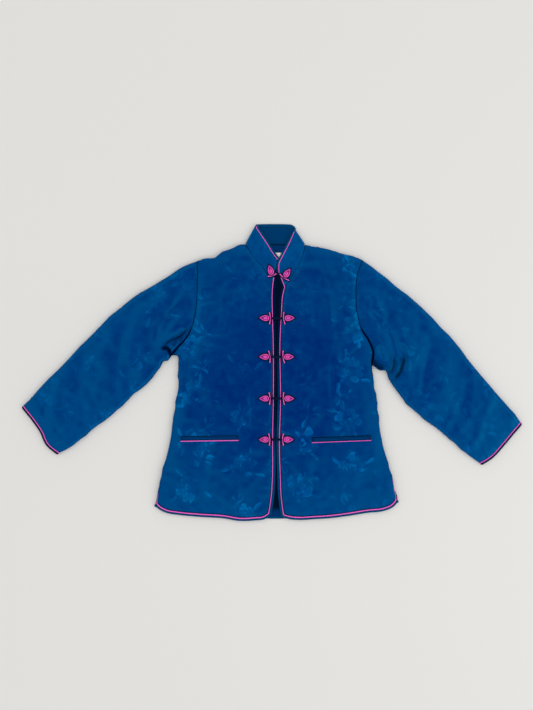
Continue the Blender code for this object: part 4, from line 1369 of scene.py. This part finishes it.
def makeCuff(side, cuff, awayFrom):  # a ring of binding, and piping across the upper side
    gone, along = np.array(trimLook["cuffRows"]) * mm, lengthsAlong(cuff)
    least = trimLook["cuffTaper"]
    taper = least + (1 - least) * roundOver(endSpan(along), trimLook["cuffCorner"])
    ring = cuff[None] + (gone[:, None] * taper[None])[..., None] * outward(cuff, awayFrom)[None]
    bulge = np.repeat(roundOver(endSpan(gone), trimLook["cuffRound"])[:, None], len(cuff), axis=1)
    loft = np.full(ring.shape[:-1], sleeveLook["cuffWall"])
    outer, inner = tubeWalls(ring, loft, 0.0, bulge, np.arange(len(cuff)), np.arange(len(gone)))
    along = np.concatenate([along, 2 * along[-1] - along[-2::-1]])
    part = wallPart(outer, inner, gridOf(gone, along)[..., ::-1], ring=True)
    binding = "bindingCuff" + side.title()
    addPiece(binding, [part], ["bindingCuff"], "binding")
    path, radius = resample(cuff, trimLook["step"]), trimLook["piping"]["cuff"]
    probe, lift = trimLook["cuffSeat"]
    seat = heightsOn(["sleeve" + side.title(), binding], path, probe) + radius * lift
    addPiping("Cuff" + side.title(), lifted(path, evened(seat, 2)), radius)


collarLook = {
    "height": 50 * mm,
    "step": 2.6 * mm,
    "wall": 3.2 * mm,
    "lift": 1.6 * mm,
    "clear": 0.1 * mm,
    "turnClear": 1.3 * mm,
    "turnReach": 0.16,  # share of a side over which the seam's gap grows towards the turn
    "turnTuck": 1.4 * mm,  # the foot of the turn stands in from the shoulder
    "turn": np.linspace(90, -90, 15),  # degrees round the half circle where the collar turns over
    "samples": 44,
    "bindingGap": 0.15 * mm,
    "bindingWidth": 6.6 * mm,
    "bindingShares": (0, 0.06, 0.2, 0.4, 0.6, 0.8, 0.94, 1),  # lines along it, as shares of its width
    "bindingSpread": 5.2 * mm,  # its width as the stitches count it
    "leftFold": (0.6, 9 * mm),  # how much narrower it is where the left side turns over, and how far along
    "rim": 1.2 * mm,
    "rimWall": 0.25,  # share of the wall left at its edges
    "puff": 0.5 * mm,
    "puffVary": 0.4,  # share of it that changes along the collar
    "puffReach": 12 * mm,
    "puffSize": 21 * mm,
    "seed": 91,
    "piping": (0.7, 0.5 * mm),  # how far it stands out, in radii, and its place beyond the top
}


def collarStations():  # seam and top lines from the right front end round the back to the left front end
    low = collarLook["wall"] / 2
    high = cloth["frontLevel"] + collarLook["lift"] + collarLook["wall"] / 2
    radius = (high - low) / 2
    last = collarLook["samples"]
    shares = np.linspace(0, 1, last + 1)
    necks = {side: seam("neck", side, shares) for side in sides}
    tops = {side: seam("collarTop", side, shares) for side in sides}
    backNeck, backTop = backLine("neck", shares), backLine("collarTop", shares)
    rows = []

    def add(foot, top, height, clear):
        rows.append((*(foot + clear * unit(top - foot)), height, *top, height))

    def addTurn(side, angles, inwards):
        for angle in np.radians(angles):
            shift = np.array((inwards * radius * (1 - math.cos(angle)), 0))
            tuck = np.array((inwards * collarLook["turnTuck"] * math.cos(angle), 0))
            height = low + radius * (1 + math.sin(angle))
            add(necks[side][0] + shift + tuck, tops[side][0] + shift, height, collarLook["turnClear"])

    def ease(index):  # the seam's gap
        near = bell(index, collarLook["turnReach"] * last)
        return collarLook["clear"] + near * (collarLook["turnClear"] - collarLook["clear"])

    for index in range(last, 1, -1):
        add(necks["right"][index], tops["right"][index], high, ease(index))
    addTurn("right", collarLook["turn"], 1)
    for index in range(2, last - 1):
        add(backNeck[index], backTop[index], low, ease(min(index, last - index)))
    addTurn("left", collarLook["turn"][::-1], -1)
    for index in range(2, last + 1):
        add(necks["left"][index], tops["left"][index], high, ease(index))
    table = np.array(rows)
    return table[:, :3], table[:, 3:]


def makeCollar():
    foot, top = collarStations()
    normal = unit(np.cross(top - foot, np.gradient((foot + top) / 2, axis=0)))
    way = unit(np.cross(np.gradient(top, axis=0), normal))
    half = collarLook["wall"] / 2
    ends = lengthsAlong((foot + top) / 2)

    def strip(low, high, shares, thick, puff=0.0):  # outer and inner face of the collar or its binding
        middle = low[:, None] + shares[None, :, None] * (high - low)[:, None]
        tall = np.linalg.norm(high - low, axis=1)[:, None] * np.minimum(shares, 1 - shares)[None]
        turned = roundOver(np.minimum(tall, endSpan(ends)[:, None]), collarLook["rim"])
        least, vary = collarLook["rimWall"], collarLook["puffVary"]
        reach = thick * (least + (1 - least) * turned)
        noise = softNoise(ends[:, None] + 0 * tall, tall, collarLook["puffSize"], collarLook["seed"])
        swell = puff * rise(tall, collarLook["puffReach"]) * (1 - vary + vary * noise)
        swell *= np.clip(normal[:, 2:], 0, 1)  # none on the side that lies on the floor
        out = normal[:, None]
        return middle + out * (reach + swell)[..., None], middle - out * reach[..., None]

    shares = gridShares(collarLook["height"], collarLook["step"], start=True, end=True)
    outer, inner = strip(foot, top, shares, half, collarLook["puff"])
    tall = np.linalg.norm(top - foot, axis=1)
    uv = np.stack(np.broadcast_arrays(ends[:, None], tall[:, None] * shares[None]), axis=-1)
    part = wallPart(outer, inner, uv, (0, 1))
    piece = addPiece("collar", [part], ["silkCollar", "collarLining"], "silk")
    piece.name = "collarBand"
    area = (np.diff(ends) * (tall[1:] + tall[:-1]) / 2).sum()
    reportCut(piece, area, ends[-1], tall.max())
    shown = collarLook["samples"]
    narrow, reach = collarLook["leftFold"]
    width = collarLook["bindingWidth"] * (1 - narrow * bell(ends - ends[-shown], reach))
    low, high = top + collarLook["bindingGap"] * way, top + width[:, None] * way
    shares = np.array(collarLook["bindingShares"])
    outer, inner = strip(low, high, shares, trimLook["bindingWall"] / 2)
    part = wallPart(outer, inner, gridOf(ends, shares * collarLook["bindingSpread"]))
    addPiece("bindingCollar", [part], ["binding"], "binding")
    radius, (out, beyond) = trimLook["piping"]["collar"], collarLook["piping"]
    path = top + normal * (half + radius * out) + way * beyond
    addPiping("CollarRight", resample(path[:shown], trimLook["step"]), radius)
    addPiping("CollarLeft", resample(path[1 - shown :], trimLook["step"]), radius)


pocketLook = {
    "right": ((-226, -172.5), (-83, -170.5), 12.5, 1.08),  # ends, height, radius of the piping, mm
    "left": ((101, -176), (248, -170.5), 13, 0.82),
    "wall": 1.7 * mm,
    "bands": 3,  # rows of stitching along the welt
    "step": 2.2 * mm,
    "columns": 19,
    "round": 1.5 * mm,
    "lift": (0.3 * mm, 0.2 * mm),  # of its two faces off the front
    "ground": ((3, 3), 3 * mm),  # it feels for the front at every third point, and this widely
    "bandDent": 0.25,  # how much thinner it is along the stitching, as a share
    "edgeWall": 0.2,  # share of the wall left at its edges
    "seat": (0.8 * mm, 0.9),  # how widely the piping feels for the front, and its height in radii
}


def makePocket(side):
    start, end, tall, radius = pocketLook[side]
    radius *= mm
    line = resample(np.array([start, end]) * mm, pocketLook["step"])
    gone, ends = np.linspace(radius + cloth["gap"], tall * mm, pocketLook["columns"]), lengthsAlong(line)
    plan = line[:, None] - gone[None, :, None] * outward(line, np.zeros(2))[:, None]
    under = ["front" + side.title()]
    ground = groundUnder(under, plan, *pocketLook["ground"])
    span = np.minimum(endSpan(ends)[:, None], endSpan(gone)[None])
    turned = roundOver(span, pocketLook["round"])
    share = (gone - gone[0]) / (gone[-1] - gone[0])
    dent, least = pocketLook["bandDent"], pocketLook["edgeWall"]
    ribs = 1 - dent + dent * np.abs(np.sin(np.pi * pocketLook["bands"] * share))[None]
    above, below = (ground + lift for lift in pocketLook["lift"])
    top = above + pocketLook["wall"] * (least + (1 - least) * turned) * ribs
    part = wallPart(lifted(plan, top), lifted(plan, below), gridOf(ends, gone))
    name = "welt" + side.title()
    addPiece(name, [part], [name], "binding")
    probe, lift = pocketLook["seat"]
    seat = evened(heightsOn(under, line, probe), 3) + radius * lift
    addPiping("Pocket" + side.title(), lifted(line, seat), radius)


frogLook = {
    "rows": [  # right middle x, y, turn; left middle x, y, turn; knot x, y, length; mm and degrees
        (1.5, 242, 108, 32, 236.5, 55, 16.5, 244.5, 6.6),
        (-4.8, 134, 177, 32, 134, 3, 13.5, 134, 26),
        (-5.5, 38, 180, 30.5, 38, 0, 12.5, 38, 26),
        (-5.5, -66, 180, 31, -66, 0, 12.75, -66, 26.5),
        (-6, -168.5, 180, 29.5, -168.5, 0, 11.75, -168.5, 25.5),
    ],
    "bars": [(19.5, 25.5), (27, 28), (27, 28.5), (28, 28), (27.5, 27)],  # lengths, right and left, mm
    "tilts": [(0, 0), (3, 3), (6, 6), (2, 3), (3, 1)],  # degrees that each bar is turned
    "leafStart": 0.8 * mm,  # from the middle of the bar
    "leafLength": 25.8 * mm,
    "leafWidth": 14.4 * mm,
    "leafLoft": 2.2 * mm,
    "leafRound": 4.5 * mm,
    "leafLift": (0.35 * mm, 0.3 * mm),  # of its two faces off the cloth
    "leafEnds": (0.012, 0.985),
    "leafGrid": (34, 31),
    "leafGround": ((3, 5), 0.8 * mm),  # steps of the grid that feel for the cloth, and how widely
    "probes": {"loop": 0.6 * mm, "bar": 1.6 * mm, "knot": 1.0 * mm},  # how widely the cords do
    # the first, navy loop is partly the leaf's dark outline, partly painted shadow round its edge
    "loops": [(1.17, 1.8, 1.1, 1), (0.84, 1.3, 1.9, 2), (0.30, 1.5, 2.4, 2)],  # scale, radius, height, finish
    "loopMiddle": 1 / 3,  # share of the leaf's length that the coils shrink towards
    "loopTaper": 0.55,  # how much thinner they are at the tip
    "loopStep": 1.1 * mm,
    "barRadius": 1.25 * mm,
    "barBow": 1.6 * mm,
    "barEnds": (0.88, 0.34),  # its thickness, and how much the balls at its ends add
    "shade": (2.4 * mm, 1.6 * mm, 0.9 * mm),  # the navy cords beside a bar, partly its dark outline, partly painted shadow: distance, radius and drop
    "knotRadius": 3.5 * mm,
    "knotDent": 0.16,  # depth between its strands, as a share
    "knotLift": 0.8,  # height of its middle, in radii
    "stem": (1.4 * mm, 1.35 * mm, 0.5 * mm),  # distance from the middle, radius and arch
}


def leafHalf(t):  # half width of an almond leaf: rounded at its base, drawn out to a tip
    return frogLook["leafWidth"] / 2 * 2.6 * t**0.5 * (1 - t)


def makeFrog(row, side):
    values, which = frogLook["rows"][row], sides.index(side)
    x, y, turn = values[3 * which : 3 * which + 3]
    middle = np.array((x, y)) * mm
    ahead = np.array((math.cos(math.radians(turn)), math.sin(math.radians(turn))))
    aside = np.array((-ahead[1], ahead[0]))
    under = ["front" + side.title(), "collar"]
    name = str(row + 1) + side.title()
    addPiece("leaf" + name, leafParts(middle, ahead, aside, under), ["vein", "navy", "frog"], "frog")
    tilt = math.radians(frogLook["tilts"][row][which])
    along = aside * math.cos(tilt) + np.array((-aside[1], aside[0])) * math.sin(tilt)
    bar = barParts(middle, ahead, along * (frogLook["bars"][row][which] * mm / 2), under)
    addPiece("bar" + name, bar, ["piping", "navy"], "frog")


def leafParts(middle, ahead, aside, under):  # a padded leaf with cords coiled round it
    long = frogLook["leafLength"]

    def place(t, off):  # plan point at a share of the leaf's length, and off its middle line
        return middle + (frogLook["leafStart"] + long * t)[..., None] * ahead + off[..., None] * aside

    rows, columns = frogLook["leafGrid"]
    t, s = np.meshgrid(np.linspace(*frogLook["leafEnds"], rows), np.linspace(-1, 1, columns), indexing="ij")
    plan = place(t, s * leafHalf(t))
    ground = groundUnder(under, plan, *frogLook["leafGround"])
    above, below = (ground + lift for lift in frogLook["leafLift"])
    top = above + frogLook["leafLoft"] * roundOver((1 - np.abs(s)) * leafHalf(t), frogLook["leafRound"])
    uv = np.stack([t * long, s * frogLook["leafWidth"] / 2], axis=-1)
    parts = [wallPart(lifted(plan, top), lifted(plan, below), uv)]
    angle = np.linspace(0, 2 * np.pi, 61)
    share, widest = 0.5 - 0.5 * np.cos(angle), frogLook["loopMiddle"]
    for scale, radius, height, pick in frogLook["loops"]:
        loop = place(widest + scale * (share - widest), scale * np.sign(np.sin(angle)) * leafHalf(share))
        loop = resample(loop, frogLook["loopStep"])
        seat = evened(heightsOn(under, loop, frogLook["probes"]["loop"]), 2) + height * mm
        thin = 1 - frogLook["loopTaper"] * np.clip((loop - middle) @ ahead / long, 0, 1) ** 3
        parts.append(sweepPart(lifted(loop, seat), roundProfile(radius * mm, 8), pick, scale=thin))
    return parts


def barParts(middle, ahead, half, under):  # a bowed cord with small balls at its ends, and navy cords beside it, partly its dark outline, partly painted shadow
    sway = np.linspace(-1, 1, 19)[:, None]
    bar = middle + sway * half - frogLook["barBow"] * (1 - sway**2) * ahead
    level = heightsOn(under, bar, frogLook["probes"]["bar"]).max() + frogLook["barRadius"]
    thick, more = frogLook["barEnds"]
    balled = thick + more * np.clip(np.abs(sway[:, 0]) * 4 - 3, 0, 1)
    parts = [sweepPart(lifted(bar, level), roundProfile(frogLook["barRadius"]), scale=balled)]
    # navy cords beside the bar: partly its dark outline, partly painted shadow
    away, radius, drop = frogLook["shade"]
    for shift in (-away, away):
        parts.append(sweepPart(lifted(bar + shift * ahead, level - drop), roundProfile(radius, 8), 1))
    return parts


def makeKnot(row):
    values = np.array(frogLook["rows"][row]) * mm
    middle, length = values[6:8], values[8]
    way = unit(values[3:5] - values[0:2])
    aside = np.array((-way[1], way[0]))
    line = middle + np.linspace(-length / 2, length / 2, 25)[:, None] * way
    kinds = ("front", "bindingFront", "pipingFront", "pipingCollar")
    under = [kind + side.title() for side in sides for kind in kinds] + ["back", "collar", "bindingCollar"]
    seat = heightsOn(under, line, frogLook["probes"]["knot"]).max()
    away, radius, arch = frogLook["stem"]
    height = seat + radius + arch * np.cos(np.linspace(-1.2, 1.2, 25))
    parts = []
    for shift in (-away, away):  # the loop and the shank lie side by side
        parts.append(sweepPart(lifted(line + shift * aside, height), roundProfile(radius, 8)))
    bead, dent = frogLook["knotRadius"], frogLook["knotDent"]
    grid = gridOf(np.linspace(0.12, np.pi - 0.12, 17), np.linspace(0, 2 * np.pi, 25))
    polar, turn = grid[..., 0], grid[..., 1]
    strands = np.abs(np.sin(2.5 * turn + 3 * polar)) * 0.7 + np.abs(np.sin(2.5 * turn - 3 * polar)) * 0.3
    far = bead * (1 - dent + dent * strands)
    reach = far * np.sin(polar)
    ball = np.stack([far * np.cos(polar), reach * np.cos(turn), reach * np.sin(turn)], axis=-1)
    spin = np.stack([lifted(way, 0), lifted(aside, 0), np.array((0, 0, 1.0))])
    shell = ball @ spin + np.array((*middle, seat + bead * frogLook["knotLift"]))
    parts.append(tubePart(shell[:, :-1], grid * bead))
    addPiece(f"knot{row + 1}", parts, ["navy"], "knot")


labelLook = {
    "size": (36 * mm, 17 * mm),
    "at": (8.5 * mm, 290 * mm),
    "wall": 0.385 * mm,
    "gap": 0.25 * mm,  # over the back
    "wave": (0.12 * mm, 9 * mm),  # height and size
    "fold": (0.25 * mm, 0.42),  # the ends are folded under: thickness, and where they begin
    "seed": 3,
}


def makeLabel():
    grid = gridOf(np.linspace(-0.5, 0.5, 33), np.linspace(-0.5, 0.5, 15))
    plan = grid * labelLook["size"] + np.array(labelLook["at"])
    base = cloth["backWall"] + labelLook["gap"]
    height, size = labelLook["wave"]
    wave = height * (1 + softNoise(plan[..., 0], plan[..., 1], size, labelLook["seed"]))
    thick, begin = labelLook["fold"]
    top = base + labelLook["wall"] + wave + thick * (np.abs(grid[..., 0]) > begin)
    part = wallPart(lifted(plan, top), lifted(plan, base), plan)
    addPiece("neckLabel", [part], ["label"], "label", "label")


makeBack()
makeCollar()
for side in sides:
    makeFront(side)
    makeFrontTrim(side)
    makeSleeve(side)
    makePocket(side)
print("panels and trim made")
for row in range(len(frogLook["rows"])):
    for side in sides:
        makeFrog(row, side)
    makeKnot(row)
makeLabel()
print("frogs and label made,", len(made), "pieces")

makeFloor(floorLook)

studio = {
    "camera": (-0.0125, 0.0425, 2.208),
    "lens": 44.62,
    "sensor": 36,
    "worldRound": (1.0, 1.0, 1.0, 1),
    "worldAbove": (0.05, 0.05, 0.05, 1),  # the ceiling is dark just above the camera
    "aboveEdge": (0.982, 0.033),  # height of a direction where it brightens, and over how much
    "worldStrength": 0.94,
    "lamp": (2.1, -0.5, 1.6),
    "lampSize": 1.4,
    "lampPower": 7,
}


def makeStudio(look):
    scene = bpy.context.scene
    scene.view_settings.view_transform = "Standard"
    camera = bpy.data.cameras.new("camera")
    camera.lens, camera.sensor_width = look["lens"], look["sensor"]
    viewer = bpy.data.objects.new("camera", camera)
    viewer.location = look["camera"]
    scene.collection.objects.link(viewer)
    scene.camera = viewer
    world = bpy.data.worlds.new("studio")
    scene.world = world
    world.use_nodes = True
    upward = Wire(world.node_tree).node("TexCoord", None, None, 0).axes()[2]
    middle, soft = look["aboveEdge"]
    colour = (upward - middle).mask(soft).shade(look["worldRound"], look["worldAbove"])
    plug(world.node_tree.nodes["Background"], Color=colour, Strength=look["worldStrength"])
    lamp = bpy.data.lights.new("softbox", "AREA")
    lamp.energy, lamp.size = look["lampPower"], look["lampSize"]
    box = bpy.data.objects.new("softbox", lamp)
    box.location = look["lamp"]
    box.rotation_euler = (Vector((0, 0, 0)) - box.location).to_track_quat("-Z", "Y").to_euler()
    scene.collection.objects.link(box)


makeStudio(studio)
bpy.context.view_layer.update()
print("faces in all:", sum(len(piece.data.polygons) for piece in made.values()))
